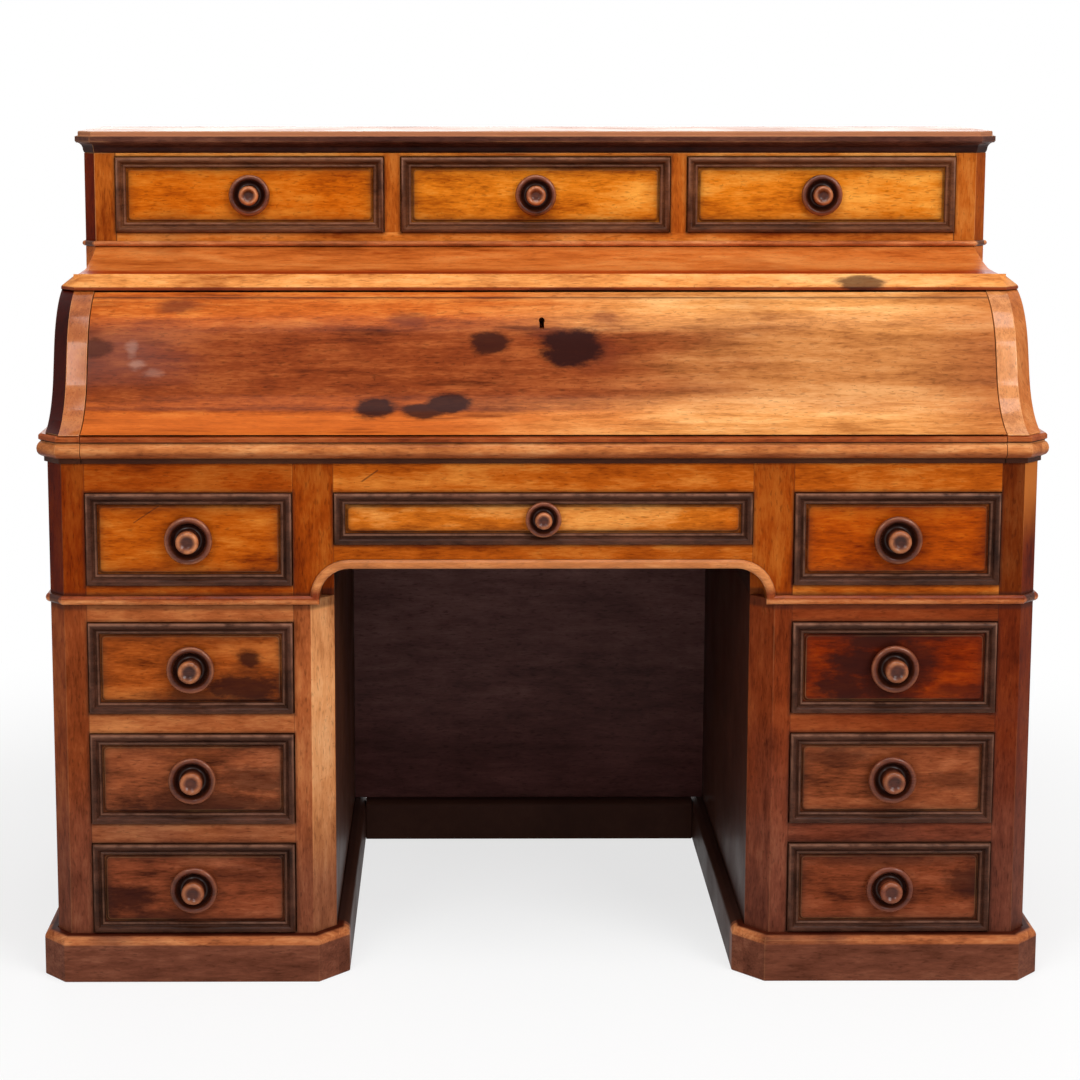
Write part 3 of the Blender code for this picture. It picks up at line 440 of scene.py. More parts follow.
print("plain wood behind", round(1000 * (CASE_BACK - REAR_DEPTH)), "mm")

# %% [markdown]
# ## Spills and scratches
# Ink and water have left dark ragged spots, and a few hard things have left scratches. These could be
# painted on a picture, but a mask is enough: a number from 0 to 1 that is worked out from the place, and
# that mixes the dirt into the wood. A spill is an oval whose edge wanders with some noise.

# %% Spills and scratches
SPILL_GRAIN = (30, 70, 70)


def stain(place, x, z, ovals, ragged=1.1, soft=0.16):
    """A mask of spills: each oval has its middle, its half sizes and its strength."""
    wobble = (place.stretch(SPILL_GRAIN).noise(1.0, 4, 0.65) - 0.5) * ragged

    def spill(middle_x, middle_z, half_x, half_z, strength):
        reach = (((x - middle_x) / half_x) ** 2 + ((z - middle_z) / half_z) ** 2) ** 0.5 + wobble
        return reach.fade(1 + soft, 1 - 2 * soft) * strength

    return strongest([spill(*oval) for oval in ovals])


def scratch(x, z, start, end, half):
    """A mask of one straight scratch on the front, from start to end."""
    run = Vector(end) - Vector(start)
    ahead = run.normalized()
    right, up = x - start[0], z - start[1]
    along = right * ahead.x + up * ahead.y
    return abs(right * ahead.y - up * ahead.x).fade(half, half * 0.4) * along.band(0, run.length, half)


print("spills run with a grain of", SPILL_GRAIN)

# %% [markdown]
# ## Seams, dust, shade and corners
# Boards show a thin dark line where they meet, dust lies round each drawer where a cloth never reached,
# with painted shade in the same place, and a canted corner has a tone of its own. Real gaps would be too
# thin to see, so the lines are masks too, and they take their places from the solids' boxes.

# %% Seams, dust, shade and corners
SEAM = 0.0012
SEAM_CORE = 0.35
DUST_AND_SHADE_REACH = 0.007
CASE_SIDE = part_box("frieze_case")[1].x
SIDE_SKIN = 0.0005
MIDDLE_HALF = 0.1


def seams(coordinate, levels):
    """Thin dark lines where boards meet, at these levels of a coordinate."""
    return strongest([abs(coordinate - level).fade(SEAM, SEAM * SEAM_CORE) for level in levels])


def near_openings(x, z, drawers):
    """Dust and painted shade in the corner round the drawers: 1 at an opening's edge, 0 a little way off."""

    def dust_and_shade(low, high):
        off_x = abs(abs(x) - abs(low.x + high.x) / 2) - (high.x - low.x) / 2
        off_z = abs(z - (low.z + high.z) / 2) - (high.z - low.z) / 2
        return off_x.most(off_z).fade(DUST_AND_SHADE_REACH, 0.0)

    return strongest([dust_and_shade(*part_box(node)) for node in drawers])


def on_cant(span, width):
    """1 on a canted corner, between the front and the side, and 0 elsewhere."""
    return span.over(CASE_SIDE - width) * span.under(CASE_SIDE - SIDE_SKIN)


def at_left(x):
    """1 on the left half of the bureau, easing to 0 across its middle."""
    return x.fade(MIDDLE_HALF, -MIDDLE_HALF)


print("the case's side is at", round(1000 * CASE_SIDE, 1), "mm")

# %% [markdown]
# ## The gallery
# Each part of the bureau has its own mahogany: golden above, orange in the frieze, red-brown and then
# nearly black below, where knocks and damp have darkened it. One finish for all would be quicker but would
# lose this. The gallery is the golden one. Its stiles and posts have upright grain and its rails level
# grain, and the place on the front says which is which.

# %% Gallery case
GALLERY_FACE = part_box("gallery_case")[0].y
GALLERY_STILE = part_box("gallery_right_drawer")[1].x
POST_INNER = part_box("gallery_centre_drawer")[1].x
POST_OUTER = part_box("gallery_right_drawer")[0].x
GALLERY_DRAWER_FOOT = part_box("gallery_left_drawer")[0].z
GALLERY_CANT = 0.0185
GALLERY_FOOT_RAIL = 0.02
OPENING_DEPTH = 0.03
GALLERY_CASE_WOOD = tones((148, 66, 12), (206, 118, 42), (234, 160, 82))
GALLERY_STILE_TINT = paint(216, 196, 170)
GALLERY_LEFT_CANT_SHADE, GALLERY_CANT_TINT = paint(176, 124, 84), paint(224, 200, 170)


def gallery_finish():
    material, shader, place, (x, y, z) = new_finish("gallery_mahogany")
    span = abs(x)
    posts = span.over(POST_INNER) * span.under(POST_OUTER) * z.over(GALLERY_DRAWER_FOOT)
    upright = span.over(GALLERY_STILE).most(posts)
    grain = Grain(place, upright)
    colour = grain.colour(GALLERY_CASE_WOOD).tint(GALLERY_STILE_TINT, upright)
    cant = on_cant(span, GALLERY_CANT)
    # Painted shade: the left canted corner, which faces away from the lamp at the right, is tinted darker.
    colour = colour.tint(GALLERY_LEFT_CANT_SHADE, cant * at_left(x)).tint(GALLERY_CANT_TINT, cant)
    colour = aged(place, grain, colour)
    joint = seams(span, (GALLERY_STILE,)) * z.over(GALLERY_DRAWER_FOOT - GALLERY_FOOT_RAIL)
    # Dust and painted shade round the drawers' openings.
    dust_and_shade = near_openings(x, z, ("gallery_centre_drawer", "gallery_right_drawer"))
    dust_and_shade = dust_and_shade * y.under(GALLERY_FACE + OPENING_DEPTH)
    polish(shader, place, grain, colour.blend(GRIME_AND_SHADE, joint * 0.7).blend(GRIME_AND_SHADE, dust_and_shade * 0.5))
    return material


def finished(material):
    """Says that a finish is made, and with how many nodes."""
    print(material.name, "has", len(material.node_tree.nodes), "nodes")
    return material


gallery_wood = finished(gallery_finish())

# %% [markdown]
# ## The shelf
# The shelf is one pale board with a scooped top and a sloping nose. Its hollow has painted shade, a warmer
# and darker brown, the foot of the nose has painted shade too, and ink has run down the nose at the right.
# The form is in the solid, so only the tones are missing, and they follow levels measured from the solid's
# own box. They stay right if the solid changes its place.

# %% Shelf
SHELF_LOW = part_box("shelf")[0]
SCOOP, SCOOP_SOFT, SCOOP_FADE = (0.034, 0.125), 0.012, (0.20, 0.10)
SHELF_REAR = 0.10
NOSE_DEPTH, NOSE_SPILL_DEPTH, NOSE_FOOT = 0.03, 0.02, (0.006, 0.0035)
SHELF_SPILLS = (
    (0.478, SHELF_LOW.z + 0.010, 0.040, 0.012, 0.8),
    (0.06, SHELF_LOW.z, 0.09, 0.004, 0.6),
)
SHELF_WOOD = tones((164, 84, 26), (222, 142, 72), (242, 180, 112))
SCOOP_SHADE_TINT, SHELF_REAR_TINT = paint(196, 122, 60), paint(226, 190, 160)
NOSE_FOOT_SHADE_TINT = paint(150, 100, 80)


def shelf_finish():
    material, shader, place, (x, y, z) = new_finish("shelf_mahogany")
    front, foot = SHELF_LOW.y, SHELF_LOW.z
    grain = Grain(place)
    hollow_shade = y.band(front + SCOOP[0], front + SCOOP[1], SCOOP_SOFT)
    hollow_shade = hollow_shade * y.fade(front + SCOOP_FADE[0], front + SCOOP_FADE[1])
    # Painted shade: the hollow of the scoop is tinted a darker, warmer brown.
    colour = grain.colour(SHELF_WOOD).tint(SCOOP_SHADE_TINT, hollow_shade)
    colour = colour.tint(SHELF_REAR_TINT, y.over(front + SHELF_REAR))
    spills = stain(place, x, z, SHELF_SPILLS) * y.under(front + NOSE_SPILL_DEPTH)
    colour = aged(place, grain, colour, rubbed=0.6).blend(SOOT, spills)
    # Painted shade on the foot of the nose, where it turns under.
    nose_foot_shade = z.fade(foot + NOSE_FOOT[0], foot + NOSE_FOOT[1]) * y.under(front + NOSE_DEPTH)
    polish(shader, place, grain, colour.tint(NOSE_FOOT_SHADE_TINT, nose_foot_shade), gloss=0.28, coat=0.05, shine=0.06)
    return material


shelf_wood = finished(shelf_finish())

# %% [markdown]
# ## The cornice
# The moulded top is nearly black, with painted shade underneath and a painted highlight, a paler brown,
# along its top edge. A separate strip for that edge would be fussy, because it is only a change of tone,
# so it is a level on the moulding. On the two returns at the sides the grain runs back.

# %% Cornice
CORNICE_LOW, CORNICE_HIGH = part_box("cornice_top")
CORNICE_UNDER, CORNICE_FILLET = (0.016, 0.010), (0.0085, 0.0070)
RETURN = 0.001
CORNICE_WOOD = tones((44, 20, 14), (80, 44, 33), (116, 72, 54))
CORNICE_UNDER_SHADE, FILLET_HIGHLIGHT = paint(150, 120, 108), paint(180, 116, 80)


def cornice_finish():
    material, shader, place, (x, _, z) = new_finish("cornice_mahogany")
    grain = Grain(place, inward=abs(x).over(CASE_SIDE + RETURN))
    # Painted shade underneath the moulding, and a painted highlight along its top fillet.
    under = z.fade(CORNICE_LOW.z + CORNICE_UNDER[0], CORNICE_LOW.z + CORNICE_UNDER[1])
    fillet = z.fade(CORNICE_HIGH.z - CORNICE_FILLET[0], CORNICE_HIGH.z - CORNICE_FILLET[1])
    colour = grain.colour(CORNICE_WOOD).tint(CORNICE_UNDER_SHADE, under).blend(FILLET_HIGHLIGHT, fillet * 0.8)
    polish(shader, place, grain, aged(place, grain, colour), gloss=0.24, coat=0.05, shine=0.06)
    return material


cornice_wood = finished(cornice_finish())

# %% [markdown]
# ## The beads
# One bead runs along the foot of the gallery. Another, the string, parts the frieze from the pedestals
# and rises round the kneehole's arch. Both have painted shade along the edges where they meet the case,
# and the string has a painted highlight round the arch. The shade could follow the bead's path, but the
# depth from the case's face finds both edges at once.

# %% Beads
CASE_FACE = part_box("frieze_case")[0].y
PEDESTAL_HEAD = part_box("right_pedestal")[1].z
BED_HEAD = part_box("desk_bed")[1].z
BEAD_EDGE = 0.0035
STRING_HALF = 0.0075
STRING_UPPER = (-0.001, 0.003)
BEAD_WOOD = tones((112, 46, 14), (176, 94, 46), (220, 146, 90))
STRING_UPPER_TINT, ARCH_HIGHLIGHT = paint(176, 130, 100), paint(216, 146, 86)


def bead_finish(name, face):
    """A thin half-round strip with painted shade at the case; the string is darker above, with a painted
    highlight round the arch.
    """
    material, shader, place, (x, y, z) = new_finish(name)
    grain = Grain(place, inward=abs(x).over(CASE_SIDE))
    # Painted shade: the bead is darkened where it meets the case's face.
    edges = y.fade(face - BEAD_EDGE, face) * abs(x).under(CASE_SIDE)
    arch = z.fade(PEDESTAL_HEAD + STRING_HALF, PEDESTAL_HEAD + 3 * STRING_HALF) * z.under(BED_HEAD)
    upper = z.fade(PEDESTAL_HEAD + STRING_UPPER[0], PEDESTAL_HEAD + STRING_UPPER[1])
    upper = upper * z.under(BED_HEAD) * (1 - arch)
    # Painted highlight: the string is made paler where it rises round the arch.
    colour = grain.colour(BEAD_WOOD).tint(STRING_UPPER_TINT, upper).blend(ARCH_HIGHLIGHT, arch * 0.3)
    colour = aged(place, grain, colour).blend(GRIME_AND_SHADE, edges * 0.8)
    polish(shader, place, grain, colour, gloss=0.22, coat=0.08, shine=0.08)
    return material


string_wood = finished(bead_finish("string_bead_mahogany", CASE_FACE))
gallery_bead_wood = finished(bead_finish("gallery_bead_mahogany", GALLERY_FACE))

# %% [markdown]
# ## Marks on the fall
# The fall is the show piece: one wide board with ink spilled over it, red blushes and a few scuffs.
# A picture of the board would be the quick way, but it would bring its own light along and blur when seen
# close. So each mark is an oval in a list, with its middle, its half sizes and its strength, and the
# bands of colour that run along the board are pairs of levels.

# %% Where the fall is marked
FALL_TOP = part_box("fall")[1]
FALL_SPILLS = (
    (0.043, 0.929, 0.050, 0.029, 0.95),
    (-0.078, 0.937, 0.031, 0.018, 0.85),
    (-0.243, 0.8455, 0.033, 0.0145, 0.90),
    (-0.138, 0.8525, 0.037, 0.0150, 0.90),
    (-0.174, 0.8425, 0.036, 0.0100, 0.85),
    (-0.655, 0.930, 0.030, 0.016, 0.60),
)
FALL_BLUSHES = (
    (-0.196, 0.968, 0.032, 0.011, 0.70),
    (-0.535, 0.986, 0.036, 0.011, 0.75),
    (0.020, 0.948, 0.050, 0.010, 0.60),
    (0.078, 0.922, 0.050, 0.028, 0.55),
    (0.092, 0.972, 0.022, 0.012, 0.45),
)
FALL_SCUFFS = (
    (-0.600, 0.926, 0.009, 0.012, 0.8),
    (-0.593, 0.905, 0.011, 0.008, 1.0),
    (-0.570, 0.893, 0.016, 0.006, 0.6),
)
FALL_BAND, BAND_SOFT = (0.854, 0.958), 0.016
FALL_CORE, CORE_SOFT = (0.915, 0.945), 0.015
FALL_GROOVE, GROOVE_SOFT = (0.842, 0.848), 0.003
FALL_FOOT_GLOW = (0.842, 0.834)
FALL_GLARE, GLARE_SOFT = (0.885, 0.958), 0.02
FALL_HEAD_SHADOW = (0.010, 0.005)
FALL_BACK = 0.02
print(len(FALL_SPILLS), "spills,", len(FALL_BLUSHES), "blushes and", len(FALL_SCUFFS), "scuffs on the fall")

# %% [markdown]
# ## The fall's wood
# The board is golden at the right and orange at the left, with a dark red band across the middle that the
# light never bleached. Straight borders would look painted. So three woods are mixed along the same
# grain, and one slow noise makes the borders between them drift.

# %% The fall's wood
FALL_GOLDEN = tones((160, 92, 38), (214, 142, 76), (236, 178, 114))
FALL_ORANGE = tones((126, 50, 12), (190, 92, 30), (222, 134, 60))
FALL_RED = tones((70, 24, 10), (126, 54, 22), (166, 86, 40))
FOOT_GLOW, PAINTED_GLARE, STREAK_TINT = paint(206, 104, 40), paint(126, 78, 68), paint(120, 76, 60)
RIGHT_END_TINT = paint(206, 160, 132)


def fall_wood_colour(place, grain, x, z):
    """Golden at the right, orange at the left, with a dark red band that the light never bleached."""
    red = grain.colour(FALL_RED)
    drift = place.stretch((3.0, 14, 14)).noise(1.0, 4, 0.6) - 0.5
    colour = grain.colour(FALL_GOLDEN).blend(grain.colour(FALL_ORANGE), (x + drift * 0.5).fade(0.28, -0.22))
    band = (z + drift * 0.06).band(*FALL_BAND, BAND_SOFT)
    colour = colour.blend(red, band * ((x + drift * 0.5).fade(0.40, 0.06) * 0.56 + 0.40))
    core = (z + drift * 0.05).band(*FALL_CORE, CORE_SOFT) * (x + drift * 0.4).fade(0.24, 0.08)
    colour = colour.blend(red, core * 0.65)
    leftward = (x + drift * 0.4).fade(0.16, -0.12)
    groove = (z + drift * 0.012).band(*FALL_GROOVE, GROOVE_SOFT) * leftward
    foot = z.fade(*FALL_FOOT_GLOW) * leftward
    colour = colour.blend(red, groove * 0.8).blend(FOOT_GLOW, foot * 0.5)
    # Painted reflection: a pale greyish glare on the left of the fall, in a band across its upper part.
    painted_glare = (x + drift * 0.2).fade(-0.46, -0.62) * z.band(*FALL_GLARE, GLARE_SOFT)
    colour = colour.blend(PAINTED_GLARE, painted_glare * 0.40)
    streaks = place.stretch((5.0, 60, 60)).noise(1.0, 3, 0.6).fade(0.56, 0.72) * x.fade(0.5, 0.0)
    colour = colour.tint(STREAK_TINT, streaks * 0.6)
    return colour.tint(RIGHT_END_TINT, x.fade(0.50, 0.68) * 0.6)


print("the fall's head is at", round(1000 * FALL_TOP.z), "mm")

# %% [markdown]
# ## The fall's finish
# The marks lie over the wood in the order in which they came: clouds and wear first, then scuffs and
# blushes, then ink, and last a painted shadow under the shelf. They could be one mask, but then they would
# have one colour. Each is mixed over what is below it, and only on the face, because no ink reached the back.

# %% The fall's finish
SCUFF, BLUSH = paint(196, 160, 144), paint(104, 42, 24)


def fall_finish():
    material, shader, place, (x, y, z) = new_finish("fall_mahogany")
    grain = Grain(place, contrast=3.6, length=2.2)
    colour = fall_wood_colour(place, grain, x, z)
    colour = aged(place, grain, colour, rubbed=0.3, dirt=0.22)
    face = y.under(FALL_TOP.y - FALL_BACK)
    scuffs = stain(place, x, z, FALL_SCUFFS, ragged=2.6, soft=0.4) * face
    blushes = stain(place, x, z, FALL_BLUSHES, ragged=1.4, soft=0.3) * face
    spills = stain(place, x, z, FALL_SPILLS) * face * (grain.fibre * 0.2 + 0.96)
    # Painted shadow: the fall's head is darkened where the shelf's nose overhangs it.
    head = z.fade(FALL_TOP.z - FALL_HEAD_SHADOW[0], FALL_TOP.z - FALL_HEAD_SHADOW[1]) * face
    colour = colour.blend(SCUFF, scuffs * 0.30).blend(BLUSH, blushes).blend(SOOT, spills)
    polish(shader, place, grain, colour.blend(GRIME_AND_SHADE, head * 0.85), gloss=0.28, coat=0.05)
    return material


fall_wood = finished(fall_finish())

# %% [markdown]
# ## The fall's ends
# Two fixed ends close the fall's recess, with the same ogee edge. In the photograph the left one's canted
# corner is nearly black, and its front shines from waxing. The wax is a coat that covers only the front:
# a coat all over would also shine on the sides and on the rear strip, where nobody waxed it.

# %% Ogee ends
END_CANT = 0.0225
WAX, WAX_ROUGHNESS = 0.6, 0.12
END_WOOD = tones((150, 82, 36), (206, 132, 74), (234, 172, 112))
END_LEFT_CANT_SHADE, END_CANT_TINT = paint(96, 48, 26), paint(230, 206, 186)
END_LEFT_TINT, END_SIDE_TINT = paint(216, 186, 160), paint(206, 158, 120)


def end_finish():
    material, shader, place, (x, y, _) = new_finish("ogee_end_mahogany")
    span = abs(x)
    outer = span.over(CASE_SIDE - SIDE_SKIN)
    grain = Grain(place, 1 - outer, outer, contrast=2.6)
    cant = on_cant(span, END_CANT)
    # Painted shade: the left end's canted corner, which faces away from the lamp at the right, is tinted
    # nearly black.
    colour = grain.colour(END_WOOD).tint(END_LEFT_CANT_SHADE, cant * at_left(x)).tint(END_CANT_TINT, cant)
    colour = colour.tint(END_LEFT_TINT, at_left(x)).tint(END_SIDE_TINT, outer)
    colour = aged(place, grain, colour, rubbed=0.4)
    polish(shader, place, grain, colour, gloss=0.24, coat=0.0, shine=0.04, bump=0.15)
    waxed = span.under(CASE_SIDE - END_CANT) * y.under(CASE_BACK - REAR_DEPTH)
    set_shader(shader, {"Coat Weight": waxed * WAX}, {"Coat Roughness": WAX_ROUGHNESS})
    return material


end_wood = finished(end_finish())

# %% [markdown]
# ## The desk edge
# The desk's edge is a rubbed golden moulding with painted shade in its quirk, a narrow groove, and under its
# lip.
# Its middle length is the front of the writing slide. The slide could have a finish of its own, but with
# one finish on one place the grain runs on through the seams, as in a strip that was cut in three.

# %% Desk edge
EDGE_LIP, EDGE_QUIRK, QUIRK_SOFT = 0.0105, (0.0112, 0.0086), 0.0008
EDGE_SHADE, EDGE_UNDERCUT = (0.021, 0.029), (0.0315, 0.0345)
BED_WOOD = tones((130, 62, 24), (190, 112, 58), (222, 156, 98))
LIP_TINT, EDGE_SHADE_TINT = paint(200, 160, 138), paint(150, 100, 84)


def bed_finish():
    material, shader, place, (x, _, z) = new_finish("desk_edge_mahogany")
    grain = Grain(place, inward=abs(x).over(CASE_SIDE + RETURN))
    # Painted shade: the quirk, the undercut below the lip and the band under it are darkened.
    quirk = z.band(BED_HEAD - EDGE_QUIRK[0], BED_HEAD - EDGE_QUIRK[1], QUIRK_SOFT)
    undercut = z.fade(BED_HEAD - EDGE_UNDERCUT[0], BED_HEAD - EDGE_UNDERCUT[1])
    shade = z.fade(BED_HEAD - EDGE_SHADE[0], BED_HEAD - EDGE_SHADE[1])
    colour = aged(place, grain, grain.colour(BED_WOOD), rubbed=0.7)
    colour = colour.tint(LIP_TINT, z.over(BED_HEAD - EDGE_LIP))
    colour = colour.blend(GRIME_AND_SHADE, quirk * 0.8).blend(GRIME_AND_SHADE, undercut * 0.85)
    polish(shader, place, grain, colour.tint(EDGE_SHADE_TINT, shade * 0.7), gloss=0.26, coat=0.05, shine=0.06)
    return material


bed_wood = finished(bed_finish())

# %% [markdown]
# ## The frieze
# The frieze is orange, with upright grain in its stiles and a golden corner at the right. Painted shade lies
# along the string, dust and painted shade round the drawers, and the inside of the arch is painted dark as
# shade. It could be cut into boards with a finish each, but each of these tones ends at a level or a corner
# of the solids, so masks will do.

# %% Frieze
COLUMN_INNER, COLUMN_OUTER = [corner.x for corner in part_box("right_upper_drawer")]
STILE_INNER, STILE_OUTER = COLUMN_INNER - SEAM, COLUMN_OUTER + SEAM
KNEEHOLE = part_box("right_pedestal")[0].x
ARCH_SIDE = KNEEHOLE - 0.001
CANT_DEPTH = 0.034
FRIEZE_CANT, CANT_GOLD = 0.0235, (0.64, 0.75)
STRING_SHADE = 0.006
ARCH_DARK = 0.66
FRIEZE_SCRATCH = ((-0.262, 0.745), (-0.238, 0.762), 0.0016)
FRIEZE_WOOD = tones((118, 42, 0), (178, 84, 14), (212, 128, 50))
FRIEZE_STILE_TINT, FRIEZE_LEFT_TINT = paint(208, 186, 160), paint(220, 200, 180)
FRIEZE_CANT_TINT, RIGHT_STILE_TINT = paint(190, 160, 140), paint(176, 172, 226)
GOLDEN_CORNER = paint(206, 118, 46)
SHADED = paint(52, 32, 26)


def frieze_finish():
    material, shader, place, (x, y, z) = new_finish("frieze_mahogany")
    span = abs(x)
    upright = span.over(STILE_OUTER).most(span.over(ARCH_SIDE) * span.under(STILE_INNER))
    grain = Grain(place, upright)
    colour = grain.colour(FRIEZE_WOOD).tint(FRIEZE_STILE_TINT, upright)
    colour = colour.tint(FRIEZE_LEFT_TINT, span.over(COLUMN_INNER) * at_left(x))
    cant = on_cant(span, FRIEZE_CANT)
    colour = colour.tint(FRIEZE_CANT_TINT, cant)
    colour = colour.tint(RIGHT_STILE_TINT, x.over(STILE_OUTER) * x.under(CASE_SIDE - FRIEZE_CANT))
    colour = colour.blend(GOLDEN_CORNER, cant * x.over(0) * z.fade(*CANT_GOLD) * 0.7)
    colour = aged(place, grain, colour, rubbed=0.35)
    joint = seams(span, (STILE_OUTER, STILE_INNER, ARCH_SIDE))
    openings = near_openings(x, z, ("frieze_centre_drawer", "frieze_right_drawer"))
    string_top = PEDESTAL_HEAD + STRING_HALF
    # Painted shade: a dark band on the frieze just above the string, which the bead overhangs.
    above_string = z.fade(string_top + STRING_SHADE, string_top)
    front = y.under(CASE_FACE + CANT_DEPTH)
    dust_and_shade = strongest([openings * front, above_string, scratch(x, z, *FRIEZE_SCRATCH)])
    colour = colour.blend(GRIME_AND_SHADE, joint * 0.3).blend(GRIME_AND_SHADE, dust_and_shade * 0.6)
    # Painted shade: the inside of the kneehole's arch is painted dark.
    inside = y.over(CASE_FACE + CANT_DEPTH) * span.under(KNEEHOLE + SIDE_SKIN)
    polish(shader, place, grain, colour.blend(SHADED, inside * z.under(ARCH_DARK)))
    return material


frieze_wood = finished(frieze_finish())

# %% [markdown]
# ## The pedestals
# The pedestals go from brown to nearly black towards the floor, the left one's inner corner has a painted
# highlight, and the kneehole's walls are painted dark as shade. A plain gradient towards the floor would
# look like a shadow, so that darkening is made uneven by the clouds that dull the varnish.

# %% Pedestals
PEDESTAL_ROWS = ("right_upper_drawer", "right_middle_drawer", "right_lower_drawer")
FOOT_DARK, FOOT_DRIFT = (0.42, 0.12), 0.3
INNER_CANT = 0.033
UNDER_STRING = (0.010, 0.004)
PEDESTAL_WOOD = tones((112, 50, 16), (168, 90, 46), (202, 126, 72))
PEDESTAL_FOOT_WOOD = tones((66, 36, 28), (104, 60, 46), (130, 84, 66))
LIT_CORNER_WOOD = tones((180, 108, 60), (220, 150, 94), (236, 178, 124))
PEDESTAL_RIGHT_TINT, PEDESTAL_STILE_TINT = paint(184, 140, 116), paint(206, 182, 168)


def pedestal_finish():
    material, shader, place, (x, y, z) = new_finish("pedestal_mahogany")
    span = abs(x)
    upright = span.over(STILE_OUTER).most(span.under(STILE_INNER))
    grain = Grain(place, upright)
    low = (z + (grain.cloud - 0.5) * FOOT_DRIFT).fade(*FOOT_DARK)
    colour = grain.colour(PEDESTAL_WOOD).tint(PEDESTAL_RIGHT_TINT, (1 - at_left(x)) * 0.9)
    colour = colour.tint(PEDESTAL_STILE_TINT, upright * (span.over(COLUMN_OUTER) * 0.8 + 0.2))
    colour = colour.blend(grain.colour(PEDESTAL_FOOT_WOOD), low * 0.7)
    # Painted light: the left pedestal's inner canted corner, which faces the lamp at the right, is made pale.
    corner = x.under(0) * span.under(KNEEHOLE + INNER_CANT) * span.over(KNEEHOLE + SIDE_SKIN)
    colour = colour.blend(grain.colour(LIT_CORNER_WOOD), corner * (1.1 - low) * 0.8)
    colour = aged(place, grain, colour, rubbed=0.15, dirt=0.22)
    joint = seams(span, (STILE_OUTER, STILE_INNER))
    # Painted shade: a dark band under the string, which the bead overhangs, joined to the dust and shade
    # round the drawers.
    string_foot = PEDESTAL_HEAD - STRING_HALF
    under_string = z.fade(string_foot - UNDER_STRING[0], string_foot - UNDER_STRING[1])
    dust_and_shade = near_openings(x, z, PEDESTAL_ROWS).most(under_string) * y.under(CASE_FACE + CANT_DEPTH)
    colour = colour.blend(GRIME_AND_SHADE, joint * 0.3).blend(GRIME_AND_SHADE, dust_and_shade * 0.55)
    # Painted shade: the kneehole's walls are painted dark.
    inside = y.over(CASE_FACE + CANT_DEPTH) * span.under(KNEEHOLE + SIDE_SKIN)
    polish(shader, place, grain, colour.blend(SHADED, inside * 0.88))
    return material


pedestal_wood = finished(pedestal_finish())

# %% [markdown]
# ## Plinths and kneehole panel
# The plinths are dark from knocks, and their rounded crowns carry a painted highlight in places; inside the
# kneehole they are painted dark as shade. The panel at the back of the kneehole is dull and pinkish. Neither
# needs more form than its solid has, so each is a wood with a few levels. The panel ends before the case
# does, so it says itself where its plain back starts.

# %% Plinths and kneehole panel
PLINTH_CROWN, CROWN_SOFT, CROWN_DEPTH = (0.0565, 0.0672), 0.0014, 0.04
PLINTH_LEDGE = (0.0668, 0.0682)
PLINTH_SIDE, PLINTH_REAR = 0.004, 0.045
PLINTH_INSIDE_DEPTH, PLINTH_INSIDE = 0.05, 0.002
PLINTH_WOOD = tones((78, 40, 26), (108, 60, 42), (134, 82, 60))
CROWN_HIGHLIGHT_WOOD = tones((116, 56, 28), (172, 98, 56), (210, 140, 90))
LEDGE_TINT = paint(150, 110, 96)


def plinth_finish():
    material, shader, place, (x, y, z) = new_finish("plinth_mahogany")
    span = abs(x)
    inner_side = span.under(KNEEHOLE - PLINTH_SIDE) * y.under(CASE_BACK - PLINTH_REAR)
    grain = Grain(place, inward=span.over(CASE_SIDE + PLINTH_SIDE).most(inner_side))
    # Painted highlight: the rounded crowns at the front are made paler in patches.
    crown_highlight = z.band(*PLINTH_CROWN, CROWN_SOFT) * y.under(CASE_FACE + CROWN_DEPTH)
    colour = grain.colour(PLINTH_WOOD)
    colour = colour.blend(grain.colour(CROWN_HIGHLIGHT_WOOD), crown_highlight * grain.cloud.fade(0.72, 0.44))
    colour = aged(place, grain, colour, rubbed=0.12, dirt=0.35)
    colour = colour.tint(LEDGE_TINT, z.fade(*PLINTH_LEDGE))
    # Painted shade: inside the kneehole the plinth is painted dark.
    inside = y.over(CASE_FACE + PLINTH_INSIDE_DEPTH) * span.under(KNEEHOLE + PLINTH_INSIDE)
    polish(shader, place, grain, colour.blend(SHADED, inside * 0.9), gloss=0.36)
    return material


PANEL_WOOD = tones((64, 42, 39), (106, 71, 67), (138, 98, 92))
PANEL_FOOT, PANEL_FOOT_TINT = (0.35, 0.10), paint(190, 170, 170)
PANEL_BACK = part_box("kneehole_back")[1].y


def kneehole_finish():
    material, shader, place, (_, _, z) = new_finish("kneehole_panel")
    grain = Grain(place, contrast=2.2)
    colour = grain.colour(PANEL_WOOD).tint(PANEL_FOOT_TINT, z.fade(*PANEL_FOOT))
    polish(shader, place, grain, colour, gloss=0.46, rear=PANEL_BACK)
    return material


plinth_wood = finished(plinth_finish())
kneehole_wood = finished(kneehole_finish())

# %% [markdown]
# ## Stains on the pedestal drawers
# The pedestal drawers have big dark stains, as if ink or water had run down from the desk. Each drawer
# could have a list of its own, but one list in the bureau's own measures serves all six, as on the fall.

